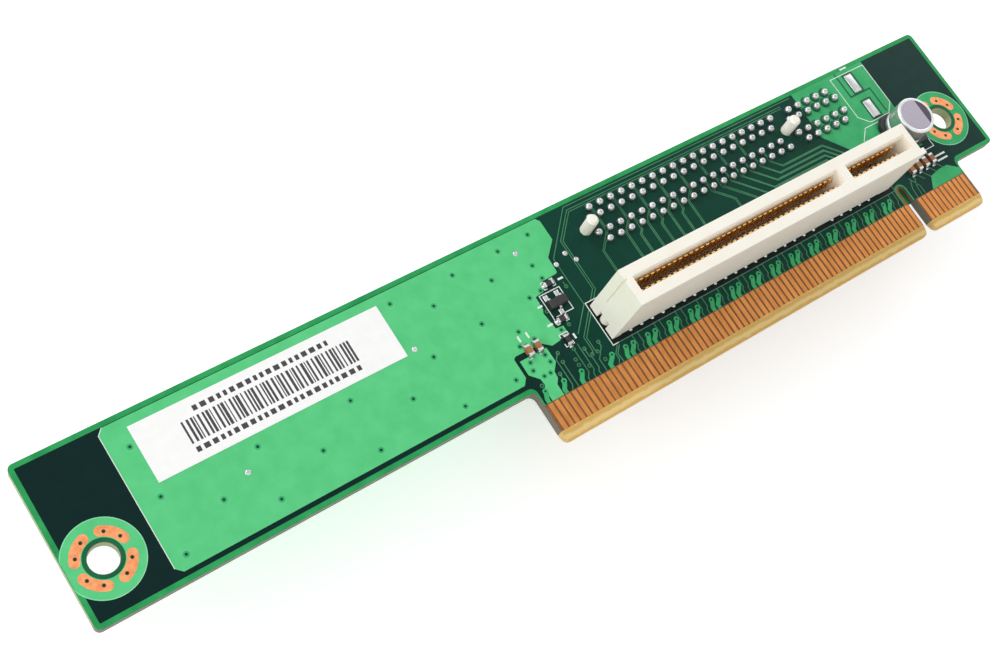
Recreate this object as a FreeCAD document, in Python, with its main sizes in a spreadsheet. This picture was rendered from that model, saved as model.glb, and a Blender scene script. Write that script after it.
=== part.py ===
import FreeCAD, Part
import math
import os
import Sketcher

# A riser card for a server: a long circuit board whose lower tongue plugs into a
# sixteen-lane slot, with an eight-lane card slot on each face.  Millimetres.
# Row frame: +X along the tongue, +Z up the board from the tongue's end, -Y out of the
# front face.  The origin is the middle of the tongue's end, halfway through the board.

doc = FreeCAD.newDocument("riser_card")
sheet = doc.addObject("Spreadsheet::Sheet", "sheet")

SIZES = [
    # circuit board
    ("board_thickness", 1.57),
    ("board_height", 22.35),
    ("left_wing", 63.0),
    ("right_wing", 8.95),
    ("tongue_height", 7.95),
    ("corner_radius", 0.8),
    ("root_radius", 1.0),
    ("tongue_corner_radius", 0.8),
    ("bevel_height", 1.5),
    ("bevel_depth", 0.45),
    ("notch_width", 1.9),
    ("notch_height", 8.85),
    ("mounting_hole_radius", 1.9),
    ("mounting_hole_height", 15.2),
    ("left_hole_inset", 4.6),
    ("right_hole_inset", 5.9),
    # gold fingers of the tongue
    ("finger_pitch", 1.0),
    ("finger_width", 0.7),
    ("finger_bottom", 1.6),
    ("finger_length", 4.0),
    ("finger_margin", 0.5),
    ("finger_gap", 1.5),
    ("long_fingers", 71),
    ("short_fingers", 11),
    # copper left bare on the board
    ("copper_thickness", 0.05),
    ("ring_pad_radius", 3.15),
    ("ring_pad_width", 1.2),
    ("ring_pad_reach", 31.5),
    ("ring_pad_chamfer", 0.4),
    # the two card slots: keys from the board's right end, the rear one down from its top
    ("front_key_x", 38.6),
    ("front_slot_height", 12.0),
    ("rear_key_x", 33.1),
    ("rear_slot_height", 5.5),
    ("housing_width", 5.65),
    ("housing_height", 11.25),
    ("standoff", 0.4),
    ("foot_length", 1.6),
    ("left_wall", 1.3),
    ("right_wall", 1.0),
    ("key_web", 1.56),
    ("left_slot_margin", 1.0),
    ("right_slot_margin", 1.8),
    ("mouth_width", 2.44),
    ("throat_width", 2.1),
    ("mouth_depth", 0.5),
    ("lip_depth", 3.0),
    ("cavity_slope", 0.3),
    ("cavity_width", 2.74),
    ("floor_height", 2.4),
    ("peg_radius", 0.875),
    ("peg_inset", 0.9),
    ("peg_length", 5.0),
    ("peg_chamfer", 0.3),
    ("peg_clearance", 0.05),
    ("peg_window_width", 2.1),
    ("peg_window_depth", 0.95),
    ("peg_window_height", 1.6),
    ("end_groove_depth", 0.4),
    ("end_groove_width", 0.5),
    ("end_groove_offset", 1.1),
    ("end_groove_bottom", 4.3),
    ("end_rib_thickness", 0.6),
    ("end_rib_width", 0.9),
    # spring contacts, with the crown measured down from the shoulder of the cavity
    ("contact_pitch", 1.0),
    ("contact_width", 0.6),
    ("contact_thickness", 0.2),
    ("contact_gap", 1.5),
    ("long_contacts", 38),
    ("short_contacts", 11),
    ("spring_root", 3.4),
    ("spring_crown", 0.95),
    ("spring_reach", 0.57),
    ("spring_tip_drop", 0.15),
    ("spring_tip_return", 0.25),
    ("tail_gap", 0.02),
    ("outer_row", 2.75),
    ("inner_row", 1.25),
    # solder joints
    ("joint_radius", 0.6),
    ("joint_height", 1.15),
    # electrolytic capacitor and the empty place like its own, from the right end and top
    ("can_x", 15.0),
    ("can_z", 14.0),
    ("can_radius", 3.15),
    ("can_top", 5.4),
    ("can_edge_radius", 0.3),
    ("can_groove_height", 1.1),
    ("can_groove_depth", 0.22),
    ("base_width", 6.6),
    ("base_thickness", 1.0),
    ("base_chamfer", 1.3),
    ("terminal_thickness", 0.2),
    ("terminal_width", 0.8),
    ("terminal_inner", 0.9),
    ("terminal_outer", 3.8),
    ("solder_pad_length", 3.4),
    ("solder_pad_width", 1.6),
    ("solder_pad_pitch", 5.1),
    ("spare_x", 16.4),
    ("spare_z", 5.9),
    # transistor, left of the front slot's moulding
    ("transistor_x", 4.1),
    ("transistor_z", 17.3),
    ("transistor_length", 2.9),
    ("transistor_width", 1.3),
    ("transistor_height", 1.0),
    ("transistor_lift", 0.08),
    ("transistor_chamfer", 0.15),
    ("lead_pitch", 1.9),
    ("lead_width", 0.4),
    ("lead_thickness", 0.12),
    ("lead_shoulder", 0.27),
    ("lead_foot", 0.3),
    # chip resistors and chip capacitors
    ("resistor_length", 1.5),
    ("resistor_width", 0.75),
    ("resistor_height", 0.45),
    ("resistor_cap", 0.3),
    ("capacitor_length", 1.6),
    ("capacitor_width", 0.85),
    ("capacitor_height", 0.8),
    ("capacitor_cap", 0.35),
    # where chips lie left of the front slot's moulding, and how high
    ("resistor_one_x", 5.9),
    ("resistor_one_z", 12.05),
    ("resistor_two_x", 4.85),
    ("resistor_two_z", 14.95),
    ("resistor_three_x", 3.55),
    ("resistor_three_z", 20.25),
    ("capacitor_one_x", 11.9),
    ("capacitor_one_z", 13.2),
    ("capacitor_two_x", 10.35),
    ("capacitor_two_z", 13.2),
    # where chips lie from the board's right end and down from its top
    ("capacitor_three_x", 17.8),
    ("capacitor_three_z", 20.2),
    ("capacitor_four_x", 16.2),
    ("capacitor_four_z", 20.2),
    ("capacitor_five_x", 14.65),
    ("capacitor_five_z", 20.2),
    ("capacitor_six_x", 13.1),
    ("capacitor_six_z", 20.2),
    # paper label, from the board's left end and down from its top
    ("label_x", 32.35),
    ("label_z", 6.1),
    ("label_length", 35.9),
    ("label_height", 8.0),
    ("label_thickness", 0.1),
]

for row, (alias, number) in enumerate(SIZES, start=1):
    sheet.set(f"A{row}", alias)
    sheet.set(f"B{row}", str(number))
    sheet.setAlias(f"B{row}", alias)
doc.recompute()


def size(alias):
    """The number in one cell of the sheet."""
    return float(sheet.get(alias))


def cells(text):
    """Turn a sum of cell names into an expression that objects of the document can read."""
    words = []
    for word in text.replace("(", " ( ").replace(")", " ) ").split():
        words.append("sheet." + word if word[0].isalpha() else word)
    return " ".join(words)


def amount(text):
    """The number that a sum of cell names comes to."""
    return float(sheet.evalExpression(cells(text).replace("sheet.", "")))


# Sums of cells that more than one sub-part uses.
TONGUE_HALF = ("( finger_gap + ( long_fingers + short_fingers - 2 ) * finger_pitch / 2"
               " + finger_width / 2 + finger_margin )")
KEY_X = ("( " + TONGUE_HALF + " - finger_margin - finger_width / 2"
         " - ( short_fingers - 1 ) * finger_pitch - finger_gap )")
BOARD_LEFT = "( 0 - " + TONGUE_HALF + " - left_wing )"
BOARD_RIGHT = "( " + TONGUE_HALF + " + right_wing )"
BOARD_TOP = "( tongue_height + board_height )"
LEFT_HOLE_X = "( " + BOARD_LEFT + " + left_hole_inset )"
RIGHT_HOLE_X = "( " + BOARD_RIGHT + " - right_hole_inset )"
SLOT_LEFT = "( contact_gap + ( long_contacts - 1 ) * contact_pitch + left_slot_margin )"
SLOT_RIGHT = "( contact_gap + ( short_contacts - 1 ) * contact_pitch + right_slot_margin )"
HOUSING_LEFT = "( " + SLOT_LEFT + " + left_wall )"
HOUSING_RIGHT = "( " + SLOT_RIGHT + " + right_wall )"
PEG_SPACING = "( " + HOUSING_LEFT + " - peg_inset )"
FRONT_KEY = "( " + BOARD_RIGHT + " - front_key_x )"
REAR_KEY = "( " + BOARD_RIGHT + " - rear_key_x )"
REAR_HEIGHT = "( " + BOARD_TOP + " - rear_slot_height )"
FRONT_SLOT_END = "( " + FRONT_KEY + " - " + HOUSING_LEFT + " )"
CAN_X = "( " + BOARD_RIGHT + " - can_x )"
CAN_Z = "( " + BOARD_TOP + " - can_z )"
FRONT_FACE = "0 - board_thickness / 2"
BACK_FACE = "board_thickness / 2"

TO_FRONT = 90
TO_BACK = -90
OUTSIDE = "1"


def place(thing, x, y, z, tilt):
    """Seat a sub-part drawn flat on XY on a face of the board.

    A tilt of 90 turns its Z out of the front face and its Y up the board; a tilt of -90
    turns its Z out of the back face and its Y down the board.
    """
    turn = FreeCAD.Rotation(FreeCAD.Vector(1, 0, 0), tilt)
    thing.Placement = FreeCAD.Placement(FreeCAD.Vector(amount(x), amount(y), amount(z)), turn)
    for axis, text in zip("xyz", (x, y, z)):
        thing.setExpression(f"Placement.Base.{axis}", cells(text))


def new_body(label):
    """An empty PartDesign body with its own name."""
    body = doc.addObject("PartDesign::Body", label)
    body.Label = label
    return body


def new_sketch(body, name, plane, offset=None):
    """A sketch on one of the body's own origin planes, pushed along its normal if asked."""
    sketch = body.newObject("Sketcher::SketchObject", name)
    support = next(item for item in body.Origin.OriginFeatures if item.Role == plane)
    sketch.AttachmentSupport = [(support, "")]
    sketch.MapMode = "FlatFace"
    if offset:
        sketch.setExpression("AttachmentOffset.Base.z", cells(offset))
    return sketch


def hold(sketch, kind, geometry, point, text):
    """Fix one coordinate of a sketch point to a sum of cells."""
    index = sketch.addConstraint(Sketcher.Constraint(kind, -1, 1, geometry, point, amount(text)))
    sketch.setExpression(f"Constraints[{index}]", cells(text))


def draw_outline(sketch, corners):
    """Draw a closed outline whose corners are pairs of sums of cells."""
    spots = [FreeCAD.Vector(amount(x), amount(y), 0) for x, y in corners]
    count = len(spots)
    first = sketch.GeometryCount
    for index in range(count):
        sketch.addGeometry(Part.LineSegment(spots[index], spots[(index + 1) % count]))
    for index in range(count):
        following = first + (index + 1) % count
        sketch.addConstraint(Sketcher.Constraint("Coincident", first + index, 2, following, 1))
    for index, (x, y) in enumerate(corners):
        hold(sketch, "DistanceX", first + index, 1, x)
        hold(sketch, "DistanceY", first + index, 1, y)


def draw_rectangle(sketch, left, bottom, right, top):
    """Draw a rectangle between two corners."""
    draw_outline(sketch, [(left, bottom), (right, bottom), (right, top), (left, top)])


def draw_circle(sketch, x, y, radius):
    """Draw a circle from its centre and radius."""
    centre = FreeCAD.Vector(amount(x), amount(y), 0)
    index = sketch.addGeometry(Part.Circle(centre, FreeCAD.Vector(0, 0, 1), amount(radius)))
    hold(sketch, "DistanceX", index, 3, x)
    hold(sketch, "DistanceY", index, 3, y)
    bound = sketch.addConstraint(Sketcher.Constraint("Radius", index, amount(radius)))
    sketch.setExpression(f"Constraints[{bound}]", cells(radius))


def pad(body, name, sketch, length, reverse=False):
    """Raise a sketch by a length."""
    feature = body.newObject("PartDesign::Pad", name)
    feature.Profile = sketch
    feature.setExpression("Length", cells(length))
    feature.Reversed = reverse
    sketch.Visibility = False
    doc.recompute()
    return feature


def pocket(body, name, sketch, length, reverse=False):
    """Cut a sketch away over a length, or right through where the length is None."""
    feature = body.newObject("PartDesign::Pocket", name)
    feature.Profile = sketch
    if length is None:
        feature.Type = "ThroughAll"
        feature.SideType = "Symmetric"
    else:
        feature.setExpression("Length", cells(length))
        feature.Reversed = reverse
    sketch.Visibility = False
    doc.recompute()
    return feature


def edges_at(shape, spots):
    """The names of the straight or round edges whose middle or centre is at one of the spots."""
    names = []
    for index, edge in enumerate(shape.Edges, start=1):
        middle = edge.CenterOfMass
        if any(middle.distanceToPoint(FreeCAD.Vector(*spot)) < 0.01 for spot in spots):
            names.append(f"Edge{index}")
    return names


def dress(body, kind, name, spots, text):
    """Round or bevel the edges of the body found at the spots."""
    base = body.Tip
    feature = body.newObject("PartDesign::" + kind, name)
    feature.Base = (base, edges_at(base.Shape, spots))
    feature.setExpression("Radius" if kind == "Fillet" else "Size", cells(text))
    body.Tip = feature
    doc.recompute()
    return feature


def collect(label, solids):
    """One sub-part made of separate solids, all the same kind of thing."""
    feature = doc.addObject("Part::Feature", label)
    feature.Label = label
    feature.Shape = Part.makeCompound(solids)
    return feature


def slab(x, y, length, width, bottom, top):
    """A block centred on (x, y) that runs from one level to another."""
    corner = FreeCAD.Vector(x - length / 2, y - width / 2, bottom)
    return Part.makeBox(length, width, top - bottom, corner)


def sheared_profile(points, x, width):
    """A flat shape in the YZ plane, given thickness along X and centred on x."""
    loop = [FreeCAD.Vector(x - width / 2, y, z) for y, z in points]
    face = Part.Face(Part.makePolygon(loop + loop[:1]))
    return face.extrude(FreeCAD.Vector(width, 0, 0))


# ---------------------------------------------------------------- circuit board

def circuit_board():
    """The laminate, drawn on its front face: outline, notch, holes and bevelled tongue."""
    body = new_body("circuit_board")
    outline = new_sketch(body, "board_outline", "XY_Plane")
    left, right = "0 - " + TONGUE_HALF, TONGUE_HALF
    draw_outline(outline, [
        (left, "0"), (right, "0"), (right, "tongue_height"), (BOARD_RIGHT, "tongue_height"),
        (BOARD_RIGHT, BOARD_TOP), (BOARD_LEFT, BOARD_TOP), (BOARD_LEFT, "tongue_height"),
        (left, "tongue_height")])
    pad(body, "board", outline, "board_thickness", reverse=True)

    notch = new_sketch(body, "notch_outline", "XY_Plane")
    draw_rectangle(notch, KEY_X + " - notch_width / 2", "0 - " + OUTSIDE,
                   KEY_X + " + notch_width / 2", "notch_height - notch_width / 2")
    pocket(body, "notch", notch, None)
    holes = new_sketch(body, "hole_outlines", "XY_Plane")
    draw_circle(holes, KEY_X, "notch_height - notch_width / 2", "notch_width / 2")
    draw_circle(holes, LEFT_HOLE_X, "mounting_hole_height", "mounting_hole_radius")
    draw_circle(holes, RIGHT_HOLE_X, "mounting_hole_height", "mounting_hole_radius")
    for key_x, height in ((FRONT_KEY, "front_slot_height"), (REAR_KEY, REAR_HEIGHT)):
        draw_circle(holes, key_x, height, "peg_radius + peg_clearance")
        draw_circle(holes, key_x + " - " + PEG_SPACING, height, "peg_radius + peg_clearance")
    pocket(body, "holes", holes, None)

    middle = -size("board_thickness") / 2
    tall = amount(BOARD_TOP)
    dress(body, "Fillet", "board_corners", [
        (amount(BOARD_LEFT), tall, middle), (amount(BOARD_RIGHT), tall, middle),
        (amount(BOARD_LEFT), size("tongue_height"), middle),
        (amount(BOARD_RIGHT), size("tongue_height"), middle)], "corner_radius")
    dress(body, "Fillet", "tongue_roots", [
        (side * amount(TONGUE_HALF), size("tongue_height"), middle) for side in (-1, 1)],
        "root_radius")
    notch_half = size("notch_width") / 2
    dress(body, "Fillet", "tongue_corners", [
        (x, 0, middle) for x in (-amount(TONGUE_HALF), amount(KEY_X) - notch_half,
                                 amount(KEY_X) + notch_half, amount(TONGUE_HALF))],
        "tongue_corner_radius")

    bevel = new_sketch(body, "bevel_outlines", "YZ_Plane")
    draw_outline(bevel, [
        ("bevel_height", "0"), ("0", "0 - bevel_depth"), ("0 - " + OUTSIDE, "0 - bevel_depth"),
        ("0 - " + OUTSIDE, OUTSIDE), ("bevel_height", OUTSIDE)])
    draw_outline(bevel, [
        ("bevel_height", "0 - board_thickness"), ("0", "bevel_depth - board_thickness"),
        ("0 - " + OUTSIDE, "bevel_depth - board_thickness"),
        ("0 - " + OUTSIDE, "0 - board_thickness - " + OUTSIDE),
        ("bevel_height", "0 - board_thickness - " + OUTSIDE)])
    pocket(body, "bevels", bevel, None)
    place(body, "0", FRONT_FACE, "0", TO_FRONT)


def finger_centres():
    """The X of every finger, left to right, with the key's place left out."""
    key = amount(KEY_X)
    gap, pitch = size("finger_gap"), size("finger_pitch")
    long_side = [key - gap - pitch * step for step in range(int(size("long_fingers")))]
    short_side = [key + gap + pitch * step for step in range(int(size("short_fingers")))]
    return sorted(long_side) + short_side


def edge_fingers(label, face, tilt, up):
    """The row of gold pads on one face of the tongue."""
    middle = up * (size("finger_bottom") + size("finger_length") / 2)
    solids = [slab(x, middle, size("finger_width"), size("finger_length"), 0,
                   size("copper_thickness")) for x in finger_centres()]
    place(collect(label, solids), "0", face, "0", tilt)


def ring_pad(x, y, angle):
    """One curved copper pad beside a mounting hole, with its corners cut off.

    Each long edge is an arc about the hole taken in a few straight steps.
    """
    outer = size("ring_pad_radius") + size("ring_pad_width") / 2
    inner = size("ring_pad_radius") - size("ring_pad_width") / 2
    reach, cut = math.radians(size("ring_pad_reach")), size("ring_pad_chamfer")

    def arc(radius):
        steps = [-1, -0.6, -0.2, 0.2, 0.6, 1]
        return [(radius, step * (reach - cut / radius)) for step in steps]

    points = arc(outer) + [(outer - cut, reach), (inner + cut, reach)]
    points += arc(inner)[::-1] + [(inner + cut, -reach), (outer - cut, -reach)]
    loop = [FreeCAD.Vector(x + radius * math.cos(angle + turn),
                           y + radius * math.sin(angle + turn), 0) for radius, turn in points]
    face = Part.Face(Part.makePolygon(loop + loop[:1]))
    return face.extrude(FreeCAD.Vector(0, 0, size("copper_thickness")))


def mounting_pads(label, face, tilt, up):
    """Four bare copper pads round each mounting hole, on one face."""
    solids = []
    for hole in (LEFT_HOLE_X, RIGHT_HOLE_X):
        for quarter in range(4):
            angle = math.radians(45 + 90 * quarter)
            solids.append(ring_pad(amount(hole), up * size("mounting_hole_height"), angle))
    place(collect(label, solids), "0", face, "0", tilt)


# ---------------------------------------------------------------- card slots

def slot_housing(label, key_x, height, face, tilt):
    """The moulded body of a card slot, drawn standing on the board with the key at X = 0."""
    body = new_body(label)
    half = "housing_width / 2"
    left, right = "0 - " + HOUSING_LEFT, HOUSING_RIGHT

    block = new_sketch(body, label + "_block", "XY_Plane")
    draw_rectangle(block, left, "0 - " + half, right, half)
    pad(body, label + "_blank", block, "housing_height")
    rib = new_sketch(body, label + "_rib_outline", "XY_Plane")
    draw_rectangle(rib, right, "0 - " + half, right + " + end_rib_thickness",
                   "end_rib_width - " + half)
    pad(body, label + "_rib", rib, "housing_height")
    under = new_sketch(body, label + "_under_outline", "XY_Plane")
    draw_rectangle(under, left + " + foot_length", "0 - " + half + " - " + OUTSIDE,
                   right + " - foot_length", half + " + " + OUTSIDE)
    pocket(body, label + "_under", under, "standoff", reverse=True)

    section = [
        ("mouth_width / 2", "housing_height"),
        ("throat_width / 2", "housing_height - mouth_depth"),
        ("throat_width / 2", "housing_height - lip_depth"),
        ("cavity_width / 2", "housing_height - lip_depth - cavity_slope"),
        ("cavity_width / 2", "0 - " + OUTSIDE),
        ("cavity_width / 2 - contact_thickness", "0 - " + OUTSIDE),
        ("cavity_width / 2 - contact_thickness", "floor_height")]
    mirrored = [("0 - ( " + y + " )", z) for y, z in reversed(section)]
    for part, plane_x, length in (
            ("long", "0 - key_web / 2", SLOT_LEFT + " - key_web / 2"),
            ("short", SLOT_RIGHT, SLOT_RIGHT + " - key_web / 2")):
        sketch = new_sketch(body, f"{label}_{part}_section", "YZ_Plane", plane_x)
        draw_outline(sketch, section + mirrored)
        pocket(body, f"{label}_{part}_slot", sketch, length)

    window = new_sketch(body, label + "_window_outline", "XY_Plane")
    draw_rectangle(window, left, "0 - peg_window_width / 2",
                   left + " + peg_window_depth", "peg_window_width / 2")
    pocket(body, label + "_window", window, "peg_window_height", reverse=True)
    pegs = new_sketch(body, label + "_peg_outlines", "XY_Plane", "0 - peg_length")
    draw_circle(pegs, "0", "0", "peg_radius")
    draw_circle(pegs, "0 - " + PEG_SPACING, "0", "peg_radius")
    pad(body, label + "_pegs", pegs, "peg_length + peg_window_height")
    dress(body, "Chamfer", label + "_peg_tips", [
        (0, 0, -size("peg_length")), (-amount(PEG_SPACING), 0, -size("peg_length"))],
        "peg_chamfer")

    groove = new_sketch(body, label + "_groove_outline", "XY_Plane", "end_groove_bottom")
    draw_rectangle(groove, left, "end_groove_offset - end_groove_width / 2",
                   left + " + end_groove_depth", "end_groove_offset + end_groove_width / 2")
    pocket(body, label + "_groove", groove, "housing_height", reverse=True)
    place(body, key_x, face, height, tilt)


def contact_places():
    """Each contact's X from the key and whether its tail is in the inner row.

    Inner and outer tails take turns along the whole slot, the key's empty places counted.
    """
    gap, pitch = size("contact_gap"), size("contact_pitch")
    places = [-gap - pitch * step for step in reversed(range(int(size("long_contacts"))))]
    places += [gap + pitch * step for step in range(int(size("short_contacts")))]
    return [(x, round((x - gap) / pitch) % 2 == 0) for x in places]


def contact_profile(inner, side):
    """The outline of one sprung contact, seen along the slot.

    It rises against the wall of the cavity, leans in to the crown that touches the card
    and turns back to its tip.  An outer contact's tail slants out under the housing.
    """
    thick = size("contact_thickness")
    wall = size("cavity_width") / 2
    crown = wall - size("spring_reach")
    shoulder = size("housing_height") - size("lip_depth") - size("cavity_slope")
    root_level = size("spring_root")
    crown_level = shoulder - size("spring_crown")
    spring = [
        (wall, root_level), (crown, crown_level),
        (crown + size("spring_tip_return"), shoulder - size("spring_tip_drop")),
        (crown - thick, crown_level), (wall - thick, root_level)]
    if inner:
        points = [(wall, 0)] + spring + [(wall - thick, 0)]
    else:
        over = size("standoff") - size("tail_gap")
        row = size("outer_row")
        points = [(row + thick / 2, 0), (wall, over)] + spring
        points += [(wall - thick, over - thick), (row - thick, 0)]
    return [(side * y, z) for y, z in points]


def slot_contacts(label, key_x, height, face, tilt):
    """All the sprung contacts of one card slot, in two facing rows."""
    solids = []
    for x, inner in contact_places():
        for side in (-1, 1):
            profile = contact_profile(inner, side)
            solids.append(sheared_profile(profile, x, size("contact_width")))
    place(collect(label, solids), key_x, face, height, tilt)


def joint(x, y, top):
    """One solder joint below a level: a five-sided cone drawn up to the end of a tail."""
    radius = size("joint_radius")
    base = [FreeCAD.Vector(x + radius * math.cos(math.radians(72 * turn)),
                           y + radius * math.sin(math.radians(72 * turn)), top)
            for turn in range(5)]
    apex = FreeCAD.Vector(x, y, top - size("joint_height"))
    loops = [base] + [[base[turn - 1], base[turn], apex] for turn in range(5)]
    faces = [Part.Face(Part.makePolygon(loop + loop[:1])) for loop in loops]
    return Part.Solid(Part.Shell(faces))


def slot_joints(label, key_x, height, face, tilt):
    """The solder joints of one card slot, on the far face of the board from it."""
    solids = []
    for x, inner in contact_places():
        row = size("inner_row") if inner else size("outer_row")
        for side in (-1, 1):
            solids.append(joint(x, side * row, -size("board_thickness")))
    place(collect(label, solids), key_x, face, height, tilt)


# ---------------------------------------------------------------- capacitor

def solder_pads():
    """The tinned pads of the fitted capacitor and of the empty place like it."""
    length, width = size("solder_pad_length"), size("solder_pad_width")
    half = size("solder_pad_pitch") / 2
    thick = size("copper_thickness")
    can_x, can_z = amount(CAN_X), amount(CAN_Z)
    spare_x = amount(BOARD_RIGHT + " - spare_x")
    spare_z = amount(BOARD_TOP + " - spare_z")
    solids = []
    for side in (-1, 1):
        solids.append(slab(can_x + side * half, can_z, length, width, 0, thick))
        solids.append(slab(spare_x, spare_z + side * half, width, length, 0, thick))
    place(collect("capacitor_pads", solids), "0", FRONT_FACE, "0", TO_FRONT)


def can_terminals():
    """Two flat strips that lie on the pads and carry the capacitor's base."""
    inner, outer = size("terminal_inner"), size("terminal_outer")
    low = size("copper_thickness")
    solids = [slab(side * (inner + outer) / 2, 0, outer - inner, size("terminal_width"),
                   low, low + size("terminal_thickness")) for side in (-1, 1)]
    place(collect("can_terminals", solids), CAN_X, FRONT_FACE, CAN_Z, TO_FRONT)


def can_base():
    """The square plastic foot, with the two corners beside the positive end cut off."""
    body = new_body("can_base")
    half = "base_width / 2"
    outline = new_sketch(body, "base_outline", "XY_Plane",
                         "copper_thickness + terminal_thickness")
    draw_outline(outline, [
        ("base_chamfer - " + half, "0 - " + half), (half, "0 - " + half), (half, half),
        ("base_chamfer - " + half, half), ("0 - " + half, half + " - base_chamfer"),
        ("0 - " + half, "base_chamfer - " + half)])
    pad(body, "base", outline, "base_thickness")
    place(body, CAN_X, FRONT_FACE, CAN_Z, TO_FRONT)


def capacitor_can():
    """The drawn aluminium can: half its section turned about its axis."""
    radius, top = size("can_radius"), size("can_top")
    bottom = size("copper_thickness") + size("terminal_thickness") + size("base_thickness")
    edge, groove = size("can_edge_radius"), size("can_groove_depth")
    ring = bottom + size("can_groove_height")
    section = [
        (0, bottom), (radius, bottom), (radius, ring - groove), (radius - groove, ring),
        (radius, ring + groove), (radius, top - edge), (radius - edge, top), (0, top)]
    loop = [FreeCAD.Vector(across, 0, up) for across, up in section]
    face = Part.Face(Part.makePolygon(loop + loop[:1]))
    solid = face.revolve(FreeCAD.Vector(0, 0, 0), FreeCAD.Vector(0, 0, 1), 360)
    place(collect("capacitor_can", [solid]), CAN_X, FRONT_FACE, CAN_Z, TO_FRONT)


# ---------------------------------------------------------------- small parts

def transistor():
    """The moulded package and its three bent leads."""
    body = new_body("transistor_body")
    outline = new_sketch(body, "package_outline", "XY_Plane", "transistor_lift")
    draw_rectangle(outline, "0 - transistor_length / 2", "0 - transistor_width / 2",
                   "transistor_length / 2", "transistor_width / 2")
    pad(body, "package", outline, "transistor_height")
    half_length, half_width = size("transistor_length") / 2, size("transistor_width") / 2
    top = size("transistor_lift") + size("transistor_height")
    dress(body, "Chamfer", "package_edges", [
        (0, half_width, top), (0, -half_width, top), (half_length, 0, top),
        (-half_length, 0, top)], "transistor_chamfer")
    middle_x = FRONT_SLOT_END + " - transistor_x"
    place(body, middle_x, FRONT_FACE, "transistor_z", TO_FRONT)

    thick = size("lead_thickness")
    level = size("transistor_lift") + size("transistor_height") / 2
    shoulder = half_width + size("lead_shoulder")
    foot = shoulder + size("lead_foot")
    profile = [
        (half_width, level - thick), (half_width, level), (shoulder, level), (shoulder, thick),
        (foot, thick), (foot, 0), (shoulder - thick, 0), (shoulder - thick, level - thick)]
    solids = []
    for x, side in ((-size("lead_pitch") / 2, 1), (size("lead_pitch") / 2, 1), (0, -1)):
        points = [(side * y, z) for y, z in profile]
        solids.append(sheared_profile(points, x, size("lead_width")))
    place(collect("transistor_leads", solids), middle_x, FRONT_FACE, "transistor_z", TO_FRONT)


def chip(name, kind, x, z, upright):
    """A chip part lying flat on the front face: a body between two metal end caps."""
    length, width, height = size(kind + "_length"), size(kind + "_width"), size(kind + "_height")
    cap = size(kind + "_cap")

    def block(offset, run):
        if upright:
            return slab(0, offset, width, run, 0, height)
        return slab(offset, 0, run, width, 0, height)

    centre = collect(name + "_body", [block(0, length - 2 * cap)])
    ends = collect(name + "_ends", [block(side * (length - cap) / 2, cap) for side in (-1, 1)])
    for thing in (centre, ends):
        place(thing, x, FRONT_FACE, z, TO_FRONT)


def paper_label():
    """The stuck-on paper label, left blank."""
    body = new_body("paper_label")
    outline = new_sketch(body, "label_outline", "XY_Plane")
    draw_rectangle(outline, "0 - label_length / 2", "0 - label_height / 2",
                   "label_length / 2", "label_height / 2")
    pad(body, "label", outline, "label_thickness")
    place(body, BOARD_LEFT + " + label_x", FRONT_FACE, BOARD_TOP + " - label_z", TO_FRONT)


# The chip parts beside the front slot: name, kind, long way up the board.
SLOT_CHIPS = [
    ("resistor_one", "resistor", True),
    ("resistor_two", "resistor", False),
    ("resistor_three", "resistor", False),
    ("capacitor_one", "capacitor", True),
    ("capacitor_two", "capacitor", True),
]
# The row of chip capacitors below the can.
CAN_CHIPS = ["capacitor_three", "capacitor_four", "capacitor_five", "capacitor_six"]

circuit_board()
edge_fingers("edge_fingers_front", FRONT_FACE, TO_FRONT, 1)
edge_fingers("edge_fingers_back", BACK_FACE, TO_BACK, -1)
mounting_pads("mounting_pads_front", FRONT_FACE, TO_FRONT, 1)
mounting_pads("mounting_pads_back", BACK_FACE, TO_BACK, -1)
for end, key, level, board_face, turn in (
        ("front", FRONT_KEY, "front_slot_height", FRONT_FACE, TO_FRONT),
        ("rear", REAR_KEY, REAR_HEIGHT, BACK_FACE, TO_BACK)):
    slot_housing(end + "_slot_housing", key, level, board_face, turn)
    slot_contacts(end + "_slot_contacts", key, level, board_face, turn)
    slot_joints(end + "_slot_joints", key, level, board_face, turn)
solder_pads()
can_terminals()
can_base()
capacitor_can()
transistor()
for name, kind, upright in SLOT_CHIPS:
    chip(name, kind, f"{FRONT_SLOT_END} - {name}_x", name + "_z", upright)
for name in CAN_CHIPS:
    chip(name, "capacitor", f"{BOARD_RIGHT} - {name}_x", f"{BOARD_TOP} - {name}_z", True)
paper_label()

# ---------------------------------------------------------------- check and export

doc.recompute()
sub_parts = [item for item in doc.Objects
             if item.TypeId in ("PartDesign::Body", "Part::Feature")
             and item.getParentGeoFeatureGroup() is None]
for item in doc.Objects:
    if "Invalid" in item.State or "Error" in item.State:
        raise RuntimeError(f"{item.Name} did not recompute")
for item in sub_parts:
    if item.Shape.isNull() or not item.Shape.isValid():
        raise RuntimeError(f"{item.Label} has no valid shape")

os.makedirs("parts", exist_ok=True)
for item in sub_parts:
    item.Shape.exportStep(f"parts/{item.Label}.step")
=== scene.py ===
"""Looks of a riser card: a green circuit board with gold fingers and a card slot on each face.

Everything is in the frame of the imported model: +X along the gold fingers, +Z up the board,
-Y out of the front face.  Lengths here are millimetres and become metres in the meshes.
"""

import math
import bmesh
import bpy
import numpy as np
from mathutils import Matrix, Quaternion, Vector


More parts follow.
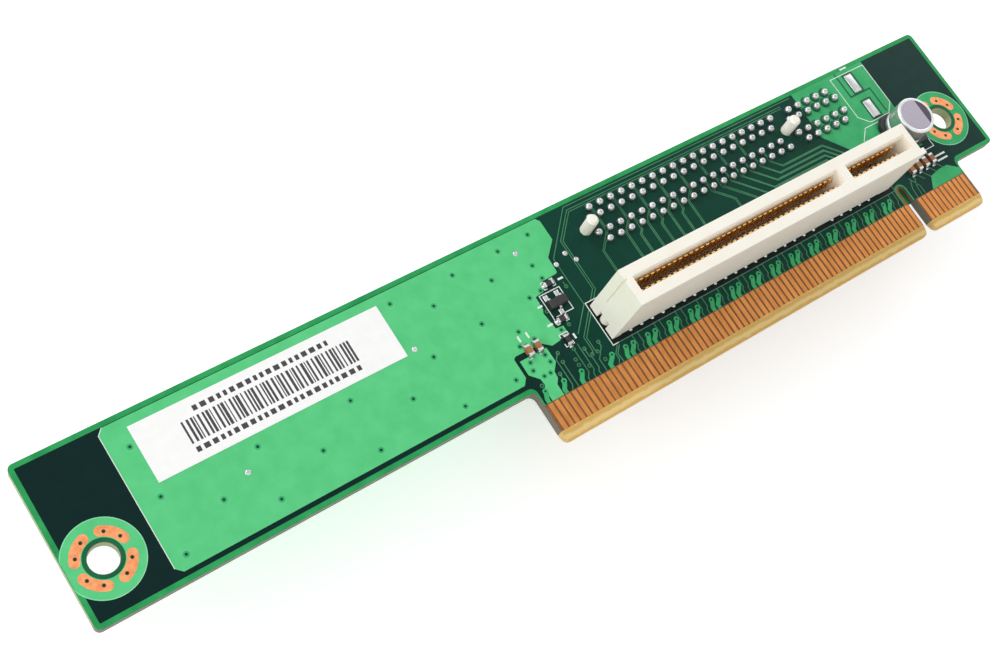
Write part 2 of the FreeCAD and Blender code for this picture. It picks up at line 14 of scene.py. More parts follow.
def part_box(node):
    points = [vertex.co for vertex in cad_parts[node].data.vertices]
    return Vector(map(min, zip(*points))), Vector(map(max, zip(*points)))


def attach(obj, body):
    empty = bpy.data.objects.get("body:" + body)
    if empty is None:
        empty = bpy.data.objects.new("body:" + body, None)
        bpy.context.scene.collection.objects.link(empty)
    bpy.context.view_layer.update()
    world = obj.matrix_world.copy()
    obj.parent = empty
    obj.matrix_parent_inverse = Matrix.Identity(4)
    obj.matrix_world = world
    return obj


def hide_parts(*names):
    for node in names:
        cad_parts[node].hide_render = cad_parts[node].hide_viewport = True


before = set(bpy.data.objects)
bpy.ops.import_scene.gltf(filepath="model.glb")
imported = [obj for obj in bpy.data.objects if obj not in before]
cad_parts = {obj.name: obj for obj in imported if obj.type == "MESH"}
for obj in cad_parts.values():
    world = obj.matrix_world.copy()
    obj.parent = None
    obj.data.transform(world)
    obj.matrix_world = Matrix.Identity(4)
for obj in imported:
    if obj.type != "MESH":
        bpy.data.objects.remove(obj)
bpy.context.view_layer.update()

MM = 0.001
FRONT = -1
BACK = 1


def corners(node):
    """The lowest and highest corner of a node, in millimetres."""
    low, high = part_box(node)
    return np.array(low) / MM, np.array(high) / MM


# ------------------------------------------------------------------ places read from the frame

board_low, board_high = corners("circuit_board")
finger_low, finger_high = corners("edge_fingers_front")
FACE = board_high[1]
COPPER = corners("mounting_pads_back")[1][1] - FACE
LEFT, RIGHT, TOP = board_low[0], board_high[0], board_high[2]
TONGUE_LEFT, TONGUE_RIGHT = finger_low[0] - 0.5, finger_high[0] + 0.5
# The board's lower edge beside the tongue, and the notch that keys the tongue.
BODY_BOTTOM = 7.95
NOTCH_X, NOTCH_HALF, NOTCH_TOP = TONGUE_RIGHT - 12.85, 0.95, 8.85
FINGER_TOP = finger_high[2]
# The bare pads of the solids reach this far from a mounting hole's middle along X.
PADS_ALONG = 3.53
HOLE_RADIUS, HOLE_LEVEL = 1.9, 15.2
pads_low, pads_high = corners("mounting_pads_front")
HOLES = [(pads_low[0] + PADS_ALONG, HOLE_LEVEL), (pads_high[0] - PADS_ALONG, HOLE_LEVEL)]
# Contacts stand 1 mm apart along X on both sides of the slot's key, in two rows on each side.
CONTACT_STEPS = np.concatenate([-1.5 - np.arange(37, -1, -1), 1.5 + np.arange(11)])
CONTACT_HALF = 0.3
INNER_ROW, OUTER_ROW = 1.25, 2.75
PEG_SPACING = 39.9


def slot_places(end, side):
    """A slot's side, its key's X, its middle height and its reach off the board."""
    low, high = corners(end + "_slot_contacts")
    mouth = np.abs(np.array(corners(end + "_slot_housing"))[:, 1]).max()
    return {"side": side, "key": high[0] - CONTACT_STEPS[-1] - CONTACT_HALF,
            "row": (low[2] + high[2]) / 2, "reach": mouth - FACE}


SLOTS = {"front": slot_places("front", FRONT), "rear": slot_places("rear", BACK)}
PEG_HOLES = [(slot["key"] - back, slot["row"]) for slot in SLOTS.values()
             for back in (0, PEG_SPACING)]
# Copper and ink are drawn from a datum left of the first finger and below the tongue's end.
DATUM_X, DATUM_Z = finger_low[0] - 0.15, -3.8


def drawn(points):
    """Points of the copper and ink drawing, moved from its datum to the frame."""
    return np.asarray(points, float) + (DATUM_X, DATUM_Z)


# ------------------------------------------------------------------ camera

AIM = (-41.98, -0.78, 17.2)
DISTANCE = 191.1
LENS, SENSOR = 51.38, 36
TURN, RISE, ROLL = math.radians(26.67), math.radians(11.8), math.radians(-33.31)


def make_camera():
    """A camera that looks along the turn and rise at the aim point and is rolled about its axis."""
    ahead = Vector((math.cos(RISE) * math.sin(TURN), math.cos(RISE) * math.cos(TURN),
                    math.sin(RISE)))
    data = bpy.data.cameras.new("camera")
    data.lens, data.sensor_width = LENS, SENSOR
    data.clip_start, data.clip_end = 0.01, 10
    camera = bpy.data.objects.new("camera", data)
    camera.location = (Vector(AIM) - DISTANCE * ahead) * MM
    camera.rotation_mode = "QUATERNION"
    level = ahead.to_track_quat("-Z", "Y")
    camera.rotation_quaternion = level @ Quaternion((0, 0, 1), ROLL)
    bpy.context.scene.collection.objects.link(camera)
    bpy.context.scene.camera = camera


make_camera()

# ------------------------------------------------------------------ materials


def colour(code):
    """An sRGB hex code turned to linear RGBA."""
    parts = np.array([int(code[place:place + 2], 16) for place in (1, 3, 5)]) / 255
    linear = np.where(parts <= 0.04045, parts / 12.92, ((parts + 0.055) / 1.055) ** 2.4)
    return (*linear.tolist(), 1.0)


def add(tree, kind, values=None, links=None, **settings):
    """Add one node, with its settings, the constants of its inputs and the links into them."""
    node = tree.nodes.new("ShaderNode" + kind)
    for name, value in settings.items():
        setattr(node, name, value)
    for name, value in (values or {}).items():
        node.inputs[name].default_value = value
    for name, socket in (links or {}).items():
        tree.links.new(socket, node.inputs[name])
    return node


def new_material(name, **constants):
    """A material with one Principled shader whose constants sit on its own sockets."""
    material = bpy.data.materials.new(name)
    material.use_nodes = True
    tree = material.node_tree
    tree.nodes.clear()
    values = {key.replace("_", " "): value for key, value in constants.items()}
    shader = add(tree, "BsdfPrincipled", values)
    out = add(tree, "OutputMaterial")
    tree.links.new(shader.outputs["BSDF"], out.inputs["Surface"])
    return material, tree, shader


def grain(tree, size, detail=2.0, stretch=(1, 1, 1)):
    """Noise on object coordinates whose lumps are about one size in millimetres."""
    place = add(tree, "TexCoord").outputs["Object"]
    stretched = add(tree, "Mapping", {"Scale": stretch}, {"Vector": place}).outputs["Vector"]
    return add(tree, "TexNoise", {"Scale": 1 / (size * MM), "Detail": detail},
               {"Vector": stretched}).outputs["Fac"]


def ramp_colours(tree, factor, stops):
    """A ramp through colours, each at its place along a factor."""
    ramp = add(tree, "ValToRGB", links={"Fac": factor})
    elements = ramp.color_ramp.elements
    for index, (place, code) in enumerate(stops):
        stop = elements[index] if index < 2 else elements.new(place)
        stop.position, stop.color = place, colour(code)
    return ramp.outputs["Color"]


def blend_colours(tree, factor, low, high, start=0.35, end=0.65):
    """A ramp from one colour to another over a stretch of a factor."""
    return ramp_colours(tree, factor, [(start, low), (end, high)])


def mottled(tree, base, factor, amount):
    """A colour darkened by a share of a factor."""
    return add(tree, "Mix", {0: amount}, {6: base, 7: factor}, data_type="RGBA",
               blend_type="MULTIPLY").outputs[2]


def along(tree, axis, start, end):
    """Nought to one along an axis of the object coordinates, between two places in millimetres."""
    place = add(tree, "TexCoord").outputs["Object"]
    part = add(tree, "SeparateXYZ", links={"Vector": place}).outputs[axis]
    return add(tree, "MapRange", {"From Min": start * MM, "From Max": end * MM},
               {"Value": part}).outputs["Result"]


def roughen(tree, shader, factor, low, high):
    """Let a factor carry the roughness from one value to another."""
    spread = add(tree, "MapRange", {"To Min": low, "To Max": high}, {"Value": factor})
    tree.links.new(spread.outputs["Result"], shader.inputs["Roughness"])


def dent(tree, shader, factor, depth):
    """Raise the surface by a factor, to a depth in millimetres."""
    bump = add(tree, "Bump", {"Strength": 1.0, "Distance": depth * MM}, {"Height": factor})
    tree.links.new(bump.outputs["Normal"], shader.inputs["Normal"])


def solder_mask(name, low, high, roughness):
    """Epoxy solder mask, curtain coated and cured: glossy, faintly mottled, softly rippled."""
    material, tree, shader = new_material(name, IOR=1.5, Roughness=roughness,
                                          Specular_IOR_Level=0.14)
    mottle = grain(tree, 2.2, 5.0)
    tree.links.new(blend_colours(tree, mottle, low, high, 0.3, 0.7), shader.inputs["Base Color"])
    roughen(tree, shader, grain(tree, 0.5, 3.0), roughness - 0.06, roughness + 0.1)
    dent(tree, shader, grain(tree, 0.45, 3.0), 0.004)
    return material


def plane_mask():
    """Solder mask over the inner plane: near black on the left, greener among the pins, and a
    lighter, greyer teal at the right end that is a painted glare.
    """
    material, tree, shader = new_material("solder_mask_over_plane_with_painted_glare", IOR=1.5, Roughness=0.3,
                                          Specular_IOR_Level=0.1)
    # The last stops, lighter and greyer toward the right end, are a painted glare in the colour.
    drift = ramp_colours(tree, along(tree, "X", LEFT, RIGHT), [
        (0.0, "#032624"), (1.0, "#153933"), (0.4, "#052B26"), (0.5, "#0A4234"),
        (0.8, "#0A4234"), (0.9, "#133731")])
    tree.links.new(mottled(tree, drift, grain(tree, 2.2, 5.0), 0.25),
                   shader.inputs["Base Color"])
    roughen(tree, shader, grain(tree, 0.5, 3.0), 0.24, 0.4)
    dent(tree, shader, grain(tree, 0.45, 3.0), 0.003)
    return material


PLY = 0.355
BEVEL_TOP = 1.6


def glass_laminate():
    """Glass cloth in epoxy, routed and bevelled: yellow where cut thin, grey-green on its edges,
    with a painted shade that darkens the lower edges.

    The bands of its plies are drawn about twice as coarse as the real ones, so that they show.
    """
    material, tree, shader = new_material("glass_laminate", IOR=1.55, Roughness=0.5)
    place = add(tree, "TexCoord")
    height = add(tree, "SeparateXYZ", links={"Vector": place.outputs["Object"]}).outputs["Z"]
    facing = add(tree, "SeparateXYZ", links={"Vector": place.outputs["Normal"]}).outputs["Y"]
    square = add(tree, "Math", links={0: facing}, operation="ABSOLUTE").outputs[0]
    edge = add(tree, "Math", {1: 0.5}, {0: square}, operation="LESS_THAN").outputs[0]
    low = add(tree, "Math", {1: BEVEL_TOP * MM}, {0: height}, operation="LESS_THAN").outputs[0]
    # Blender's bands repeat each time the place times the scale has grown by 2 pi / 20.
    plies = add(tree, "TexWave", {"Scale": 2 * math.pi / 20 / (PLY * MM), "Distortion": 1.5,
                                  "Detail": 2.0}, {"Vector": place.outputs["Object"]},
                bands_direction="Y").outputs["Fac"]
    # Painted shade on the cut edges: dark grey up to 8.4 mm, where the lower edges face away from
    # the light, paler green from 9.6 mm up.
    rim = ramp_colours(tree, along(tree, "Z", 0, 12), [(0.7, "#716B5A"), (0.8, "#AEB98A")])
    cut = mottled(tree, rim, plies, 0.25)
    bevel = blend_colours(tree, plies, "#D6AC58", "#E8CB86", 0.2, 0.8)
    flat = blend_colours(tree, grain(tree, 0.6, 3.0), "#6E4420", "#84562B")
    base = add(tree, "Mix", data_type="RGBA", links={0: edge, 6: flat, 7: cut}).outputs[2]
    base = add(tree, "Mix", data_type="RGBA", links={0: low, 6: base, 7: bevel}).outputs[2]
    tree.links.new(base, shader.inputs["Base Color"])
    dent(tree, shader, grain(tree, 0.15, 4.0), 0.01)
    return material


def plated(name, low, high, roughness, lump, brushed=(1, 1, 1), depth=0.002):
    """A metal film or sheet: its colour drifts slightly and its face is finely pitted.

    Brushed stretches the pattern along an axis. A depth of nought leaves the face smooth.
    """
    material, tree, shader = new_material(name, Metallic=1.0, Roughness=roughness)
    drift = grain(tree, lump, 4.0, brushed)
    tree.links.new(blend_colours(tree, drift, low, high), shader.inputs["Base Color"])
    roughen(tree, shader, grain(tree, lump / 3, 3.0, brushed), roughness - 0.08, roughness + 0.12)
    if depth:
        dent(tree, shader, grain(tree, lump / 4, 3.0, brushed), depth)
    return material


def moulded(name, low, high, roughness, lump=0.35, depth=0.004, sheen=0.5):
    """Injection moulded plastic: even colour, a fine spark-eroded grain and soft gloss."""
    material, tree, shader = new_material(name, IOR=1.5, Roughness=roughness,
                                          Specular_IOR_Level=sheen)
    tree.links.new(blend_colours(tree, grain(tree, 4.0, 3.0), low, high),
                   shader.inputs["Base Color"])
    roughen(tree, shader, grain(tree, lump * 2, 3.0), roughness - 0.05, roughness + 0.08)
    dent(tree, shader, grain(tree, lump, 4.0), depth)
    return material


def printing_ink(name, low, high):
    """Screen printed ink: matt, a little thin at its edges, no metal."""
    material, tree, shader = new_material(name, Roughness=0.6, IOR=1.5)
    tree.links.new(blend_colours(tree, grain(tree, 0.12, 4.0), low, high, 0.3, 0.6),
                   shader.inputs["Base Color"])
    dent(tree, shader, grain(tree, 0.08, 3.0), 0.003)
    return material


def label_paper():
    """Coated label paper: white, soft sheen, faint fibres."""
    material, tree, shader = new_material("coated_paper", Roughness=0.42, IOR=1.5)
    tree.links.new(blend_colours(tree, grain(tree, 1.2, 5.0), "#FAFAF9", "#FEFEFD"),
                   shader.inputs["Base Color"])
    dent(tree, shader, grain(tree, 0.25, 5.0), 0.003)
    return material


LAMINATE = glass_laminate()

# Mask is thin and clear enough to take its green from what lies below it. It looks near black
# over the plane, whose right end carries a painted glare, and under the slot, where it also
# carries a painted shadow of the moulding; mid green on bare laminate, in gaps and down in the
# vias, greyed on narrow traces, and bright on wide copper, with a pale line along a copper edge.
MASK_DARK = plane_mask()
# Near black under the slot: the mask's own dark with a painted shadow of the slot moulding over it.
MASK_UNDER_SLOT_WITH_SHADOW = solder_mask("solder_mask_with_painted_slot_shadow", "#03120F", "#061A16", 0.34)
MASK_EDGE = solder_mask("solder_mask_over_bare_laminate", "#259050", "#33A85F", 0.3)
MASK_POUR = solder_mask("solder_mask_over_copper_pour", "#57C87F", "#62D18A", 0.32)
MASK_TRACE = solder_mask("solder_mask_over_copper_trace", "#3C7D58", "#528F68", 0.3)
MASK_VIA = solder_mask("solder_mask_sunk_in_via", "#083A2B", "#0D4834", 0.35)
MASK_GAP = solder_mask("solder_mask_in_copper_gap", "#145C3B", "#1B6B45", 0.32)
MASK_RIDGE = solder_mask("solder_mask_on_copper_edge", "#86DBA4", "#9BE5B5", 0.3)
MASK_TEAR = solder_mask("solder_mask_over_wide_copper", "#37A667", "#46B574", 0.32)

# Plated over copper and handled: a warm, satin orange gold, streaked along each finger.
GOLD = plated("electroplated_gold", "#BE7A40", "#D28E50", 0.34, 0.9, (1, 1, 0.25))
# Left bare and turned dull: pink, with a soft spread of light.
COPPER_BARE = plated("bare_copper_tarnished", "#D9875A", "#EE9F6E", 0.42, 0.7)
# Rolled and plated: a clean yellow glint deep in the slot.
SPRING = plated("gold_over_spring_bronze", "#F0B455", "#FFCF7C", 0.34, 0.5, depth=0)
# Cooled from liquid: smooth domes with a small bright highlight each.
SOLDER = plated("wave_solder", "#B4B4B7", "#C6C6C9", 0.26, 2.5, depth=0)
# Plated matt: pale grey caps and legs with no sharp highlight.
TIN = plated("matt_tin_plate", "#C4C2C4", "#D8D6D8", 0.34, 0.4)
# Deep drawn: a silver wall with a faint streak along the draw.
CAN = plated("drawn_aluminium", "#C8CACB", "#D4D6D7", 0.36, 1.6, (1, 0.15, 1), 0)
# Injection moulded with glass fibre: warm white and evenly matt.
IVORY = moulded("ivory_glass_filled_nylon", "#FBF6E8", "#FEFAEF", 0.46)
# Transfer moulded with silica: charcoal with a fine tooth.
BLACK = moulded("black_moulded_epoxy", "#131315", "#1D1D20", 0.5, 0.12, 0.006)
# Glazed and fired: black with a tight sheen.
GLAZE = moulded("black_glaze_on_ceramic", "#151417", "#232228", 0.28, 0.2, 0.003)
# Pressed and fired: even brown, half matt.
CERAMIC = moulded("barium_titanate_ceramic", "#8E5E36", "#A87547", 0.42, 0.2, 0.004)
# Inks lie flat and matt: opaque white, a grey green for the line below the slot, and the prints on
# label and can.
INK = printing_ink("white_legend_ink", "#CFE0D5", "#F3F8F4")
INK_GREY_GREEN = printing_ink("grey_green_legend_ink", "#4E7468", "#6C9284")
LABEL_INK = printing_ink("black_label_ink", "#232328", "#3A3A42")
CAN_INK = printing_ink("grey_print_on_aluminium", "#A79FB0", "#BBB4C2")
CAN_MARK = printing_ink("dark_print_on_aluminium", "#3B3440", "#4C4452")
# Coated and calendered: the whitest face on the card.
PAPER = label_paper()

# ------------------------------------------------------------------ mesh tools


def finish_piece(name, mesh, material, smooth=False, stands_for=()):
    """Turn a mesh in metres into a piece that rides on the card."""
    mesh.materials.clear()
    mesh.materials.append(material)
    mesh.polygons.foreach_set("use_smooth", [smooth] * len(mesh.polygons))
    piece = bpy.data.objects.new(name, mesh)
    bpy.context.scene.collection.objects.link(piece)
    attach(piece, "root")
    if stands_for:
        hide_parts(*stands_for)
    return piece


def build(name, parts, material, smooth=False, stands_for=()):
    """Join parts, each an array of points in millimetres and a list of faces, into one piece."""
    points, faces, start = [], [], 0
    for spots, loops in parts:
        points.append(spots)
        faces += [tuple(int(index) + start for index in loop) for loop in loops]
        start += len(spots)
    mesh = bpy.data.meshes.new(name)
    mesh.from_pydata((np.concatenate(points) * MM).tolist(), [], faces)
    mesh.update()
    return finish_piece(name, mesh, material, smooth, stands_for)


def onto_face(flat, faces, side):
    """Carry (x, z, height) onto a face: Y is the face plus the height, outwards on that side."""
    x, z, height = flat[:, 0], flat[:, 1], flat[:, 2]
    points = np.stack([x, side * (FACE + height), z], axis=1)
    if side == BACK:
        faces = [tuple(reversed(loop)) for loop in faces]
    return points, faces


def skin(rings, around, closed=False):
    """Faces between neighbouring rings of points, each ring closed on itself.

    In a closed skin the last ring meets the first, as on a washer.
    """
    level = np.arange(rings if closed else rings - 1)[:, None] * around
    above = (level + around) % (rings * around)
    place, follow = np.arange(around), (np.arange(around) + 1) % around
    return np.stack([level + place, level + follow, above + follow, above + place],
                    axis=-1).reshape(-1, 4).tolist()


def tube(rings):
    """A row of rings, as an array of (ring, corner, xyz), skinned and capped at both ends."""
    count, around = rings.shape[:2]
    first = list(range(around))
    last = [corner + (count - 1) * around for corner in first]
    return rings.reshape(-1, 3), skin(count, around) + [first[::-1], last]


def ribbon(path, width, low, high):
    """A strip of rectangular section carried along a path.

    At each corner the half width is laid along the bisector, divided by the cosine of half
    the turn, so both edges stay parallel to the path.
    """
    path = np.asarray(path, float)
    run = np.diff(path, axis=0)
    run /= np.linalg.norm(run, axis=1)[:, None]
    before = np.vstack([run[:1], run])
    after = np.vstack([run, run[-1:]])
    normal = np.stack([-(before + after)[:, 1], (before + after)[:, 0]], axis=1)
    normal /= np.linalg.norm(normal, axis=1)[:, None]
    lean = np.abs(normal[:, 0] * -before[:, 1] + normal[:, 1] * before[:, 0])
    half = (width / 2 / np.maximum(lean, 0.4))[:, None] * normal
    level = np.ones((len(path), 1))
    return tube(np.stack([
        np.hstack([path + half, level * low]), np.hstack([path + half, level * high]),
        np.hstack([path - half, level * high]), np.hstack([path - half, level * low])], axis=1))


def spun(section, around):
    """Points (radius, height) carried round: radius * (cos a, sin a) at their height."""
    angle = 2 * np.pi * np.arange(around) / around
    unit = np.stack([np.cos(angle), np.sin(angle)], axis=1)
    return np.concatenate([np.hstack([radius * unit, np.full((around, 1), height)])
                           for radius, height in section])


def repeated(unit, faces, centres):
    """The same form set down at each centre (x, z)."""
    centres = np.asarray(centres, float)
    shift = np.hstack([centres, np.zeros((len(centres), 1))])
    loops = [[corner + index * len(unit) for corner in loop]
             for index in range(len(centres)) for loop in faces]
    return (unit + shift[:, None]).reshape(-1, 3), loops


def turned(profile, around, centres):
    """A profile of (radius, height) turned about an upright axis, repeated at each centre.

    It starts and ends at a radius of nought, where the form closes in one point, reached by a
    fan of triangles.
    """
    rings = profile[1:-1]
    poles = [(0, 0, profile[0][1]), (0, 0, profile[-1][1])]
    unit = np.vstack([spun(rings, around), poles])
    place, follow = np.arange(around), (np.arange(around) + 1) % around
    foot, tip, last = len(unit) - 2, len(unit) - 1, (len(rings) - 1) * around
    faces = skin(len(rings), around)
    faces += np.stack([np.full(around, foot), follow, place], 1).tolist()
    faces += np.stack([np.full(around, tip), last + place, last + follow], 1).tolist()
    return repeated(unit, faces, centres)


def washers(inner, outer, low, high, around, centres):
    """A flat washer at each centre: a rectangle between two radii and two heights, spun."""
    section = [(inner, low), (outer, low), (outer, high), (inner, high)]
    return repeated(spun(section, around), skin(4, around, closed=True), centres)


def turned_piece(name, profile, around, centres, side, material, smooth=False,
                 stands_for=()):
    """A turned form at each centre on a face, as one piece."""
    form = onto_face(*turned(profile, around, centres), side)
    build(name, [form], material, smooth, stands_for)


def sheet_piece(name, loops, low, high, side, material, stands_for=()):
    """A flat filled outline with holes, raised from one level to another on a face."""
    data = bpy.data.curves.new(name, "CURVE")
    data.dimensions, data.fill_mode = "2D", "BOTH"
    data.extrude = (high - low) / 2 * MM
    for loop in loops:
        spline = data.splines.new("POLY")
        flat = np.asarray(loop, float) * (1, -side) * MM
        spline.points.add(len(flat) - 1)
        columns = np.hstack([flat, np.zeros((len(flat), 1)), np.ones((len(flat), 1))])
        spline.points.foreach_set("co", columns.ravel())
        spline.use_cyclic_u = True
    holder = bpy.data.objects.new(name + "_outline", data)
    bpy.context.scene.collection.objects.link(holder)
    bpy.context.view_layer.update()
    mesh = bpy.data.meshes.new_from_object(holder)
    bpy.data.objects.remove(holder)
    spots = np.zeros(len(mesh.vertices) * 3)
    mesh.vertices.foreach_get("co", spots)
    x, y, z = spots.reshape(-1, 3).T
    level = (FACE + (low + high) / 2) * MM
    turned_over = np.stack([x, side * (level + z), -side * y], axis=1)
    mesh.vertices.foreach_set("co", turned_over.ravel())
    mesh.name = name
    mesh.update()
    return finish_piece(name, mesh, material, False, stands_for)


def arc(x, z, radius, start, end, steps=8):
    """Points on a circle about (x, z) from one angle in degrees to another."""
    angle = np.radians(np.linspace(start, end, steps + 1))
    return np.stack([x + radius * np.cos(angle), z + radius * np.sin(angle)], axis=1)


def circle(x, z, radius, steps=32):
    """A closed circle of points."""
    return arc(x, z, radius, 0, 360, steps)[:-1]


def softened(node, name, width, material):
    """A copy of a node with its doubles merged and its sharp edges bevelled, shown instead."""
    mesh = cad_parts[node].data.copy()
    mesh.name = name
    shape = bmesh.new()
    shape.from_mesh(mesh)
    bmesh.ops.remove_doubles(shape, verts=shape.verts, dist=1e-7)
    bmesh.ops.dissolve_limit(shape, angle_limit=math.radians(1), verts=shape.verts,
                             edges=shape.edges)
    shape.to_mesh(mesh)
    shape.free()
    piece = finish_piece(name, mesh, material, False, (node,))
    bevel = piece.modifiers.new("edges", "BEVEL")
    bevel.width, bevel.segments = width * MM, 2
    bevel.limit_method, bevel.angle_limit = "ANGLE", math.radians(35)
    bevel.use_clamp_overlap = True


def dress(node, material):
    """Give a node of the frame its finish."""
    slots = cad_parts[node].data.materials
    if len(slots):
        slots[0] = material
    else:
        slots.append(material)


# ------------------------------------------------------------------ mask, planes and pours

# Heights above the board's face: mask, mask over the plane, mask over copper, and ink.
BASE, PLANE, POUR, LEGEND = 0.012, 0.02, 0.045, 0.056
# The plane stops this far inside the board's edge, and at these radii about holes and pegs.
RIM = 0.7
MASK_OPENING, PEG_OPENING = 2.5, 0.93
# The mask stops this far inside the board's edge and above the fingers.
MASK_INSET, MASK_ABOVE_FINGERS = 0.004, 0.12
BOARD_CORNER, SHOULDER_CURVE = 0.8, 1.0
LAND_RADIUS, LAND_EDGE, LAND_TO_BOARD_EDGE = 4.86, 0.12, 0.08


def board_outline(inset, foot):
    """The board's outline, inset, with the tongue cut off at a level above the fingers.

    At the tongue and its notch the inset is a third, as what lies below comes nearer the edge.
    """
    low, left, right, top = BODY_BOTTOM + inset, LEFT + inset, RIGHT - inset, TOP - inset
    radius, curve, less = max(BOARD_CORNER - inset, 0.15), SHOULDER_CURVE, inset / 3
    tongue_left, tongue_right = TONGUE_LEFT + less, TONGUE_RIGHT - less
    return np.concatenate([
        [(tongue_left, foot), (NOTCH_X - NOTCH_HALF - less, foot)],
        arc(NOTCH_X, NOTCH_TOP - NOTCH_HALF, NOTCH_HALF + less, 180, 0, 8),
        [(NOTCH_X + NOTCH_HALF + less, foot), (tongue_right, foot)],
        arc(tongue_right + curve, low - curve, curve, 180, 90, 4),
        arc(right - radius, low + radius, radius, -90, 0, 4),
        arc(right - radius, top - radius, radius, 0, 90, 4),
        arc(left + radius, top - radius, radius, 90, 180, 4),
        arc(left + radius, low + radius, radius, 180, 270, 4),
        arc(tongue_left - curve, low - curve, curve, 90, 0, 4)])


def mask_and_plane(side, name):
    """The mask over bare laminate, and the darker field where a plane lies below it."""
    pegs = [circle(x, z, PEG_OPENING, 24) for x, z in PEG_HOLES]
    bores = [circle(x, z, HOLE_RADIUS + 0.05) for x, z in HOLES]
    lands = [circle(x, z, MASK_OPENING) for x, z in HOLES]
    foot = FINGER_TOP + MASK_ABOVE_FINGERS
    sheet_piece("solder_mask_" + name, [board_outline(MASK_INSET, foot)] + pegs + bores, 0,
                BASE, side, MASK_EDGE)
    sheet_piece("inner_plane_" + name, [board_outline(RIM, foot)] + pegs + lands, BASE, PLANE,
                side, MASK_DARK)


def hole_lands(side, name):
    """The round land of masked copper about each mounting hole, with its paler edge.

    Where the land would pass the board's edge it is cut straight along it.
    """
    for index, ((x, z), mask) in enumerate(zip(HOLES, (MASK_POUR, MASK_TEAR))):
        for part, radius, high, finish in (
                ("edge", LAND_RADIUS + LAND_EDGE, POUR - 0.006, MASK_RIDGE),
                ("face", LAND_RADIUS, POUR, mask)):
            disc = circle(x, z, radius, 64)
            disc[:, 0] = np.clip(disc[:, 0], LEFT + LAND_TO_BOARD_EDGE,
                                 RIGHT - LAND_TO_BOARD_EDGE)
            sheet_piece(f"hole_land_{part}_{name}_{index + 1}",
                        [disc, circle(x, z, MASK_OPENING)], PLANE, high, side, finish)
        build(f"hole_rim_{name}_{index + 1}", [onto_face(*washers(
            HOLE_RADIUS + 0.06, MASK_OPENING + 0.01, BASE, PLANE, 48, [(x, z)]), side)],
            MASK_GAP)


LEFT_POUR = [
    (-51.6, 13.1), (-52.4, 13.9), (-52.4, 32.5), (-51.6, 33.3), (14.4, 33.3), (14.9, 32.7),
    (14.9, 29.5), (12.7, 27.4), (12.6, 25.0), (12.2, 24.85), (9.7, 24.75), (9.0, 23.6),
    (8.5, 23.3), (7.6, 23.2), (7.5, 21.2), (7.2, 20.7), (7.5, 18.0), (8.7, 17.9), (8.7, 17.0),
    (7.4, 16.9), (7.1, 16.3), (5.6, 16.15), (4.4, 17.1), (0.0, 17.2), (-0.4, 16.9),
    (-0.4, 14.0), (-1.2, 13.1)]
CHIP_POUR = [
    (0.15, 16.3), (4.65, 16.3), (4.7, 14.0), (3.7, 12.9), (3.6, 11.9), (3.0, 11.2),
    (3.0, 9.52), (1.05, 9.52), (1.05, 11.5), (1.4, 11.9), (1.3, 12.9), (0.15, 14.1)]
RIGHT_POUR = [
    (65.2, 33.4), (80.9, 33.4), (80.9, 16.6), (71.5, 16.6), (68.2, 21.3), (65.1, 25.0)]
KEY_POUR = [
    (77.0, 9.52), (84.0, 9.52), (84.1, 10.6), (82.3, 11.9), (80.4, 11.9), (78.3, 11.5)]


def pours():
    """Copper poured over the front: the long field, its neck to the fingers and the right field.

    The long field has a pale line on its left edge and a plainer likeness on the back.
    """
    for name, outline, material in (
            ("pour_left", LEFT_POUR, MASK_POUR), ("pour_neck", CHIP_POUR, MASK_POUR),
            ("pour_right", RIGHT_POUR, MASK_TEAR), ("pour_key", KEY_POUR, MASK_TEAR)):
        sheet_piece(name, [drawn(outline)], PLANE, POUR, FRONT, material)
    back = [(-51.6, 13.1), (-52.4, 13.9), (-52.4, 32.5), (-51.6, 33.3), (5.9, 33.3),
            (6.7, 32.5), (6.7, 21.0), (-0.4, 14.0), (-1.2, 13.1)]
    sheet_piece("pour_rear", [drawn(back)], PLANE, POUR, BACK, MASK_POUR)
    build("pour_edge", [onto_face(*ribbon(drawn(LEFT_POUR[1:4]), 0.09, PLANE, POUR + 0.004),
                                  FRONT)], INK)


# ------------------------------------------------------------------ traces, lands and vias

# Widths of a trace and of the wide copper, and the gap from middle to middle in a pair.
TRACE, WIDE_COPPER, PAIR = 0.14, 0.66, 0.26
# Rows of the drawing: where the fingers end, and where the wide copper's vias stand.
FINGER_ROW, VIA_ROW = 9.5, 11.15


def pair(path, gap=PAIR):
    """Two traces side by side, each moved half the gap across the run of the path."""
    path = np.asarray(path, float)
    run = np.gradient(path, axis=0)
    across = np.stack([-run[:, 1], run[:, 0]], axis=1)
    across /= np.linalg.norm(across, axis=1)[:, None]
    return [path + across * gap / 2, path - across * gap / 2]


def fan_traces():
    """The pairs that leave the rear slot's pins: down with one slant, down and right, or round."""
    lines = pair([(23.2, 31.0), (23.2, 27.1), (20.8, 24.7), (20.8, 17.6)])
    for step in range(4):
        x = 27.2 + 4 * step
        lines += pair([(x, 31.0), (x, 27.1), (x - 1.5, 25.6), (x - 1.5, 17.6)])
    for step in range(3):
        x = 28.2 + 4 * step
        lines += pair([(x, 26.9), (x, 25.0), (x - 0.6, 24.4), (x - 0.6, 17.6)])
    for x, drop in ((42.2, 2.7), (44.2, 4.0)):
        lines += pair([(x, 26.9), (x, 25.4), (x + drop, 25.4 - drop), (x + drop, 17.6)])
    for step in range(5):
        x, level, bend = 54.2 - 2 * step, 23.9 - 0.8 * step, 64.2 - 0.33 * step
        lines += pair([(x, 26.9), (x, 25.4), (x + 25.4 - level, level), (bend, level),
                       (bend + level - 17.6, 17.6)], 0.18)
    for step in range(3):
        x = 43.2 + 4 * step
        lines += pair([(x, 31.0), (x, 27.9)])
    return lines


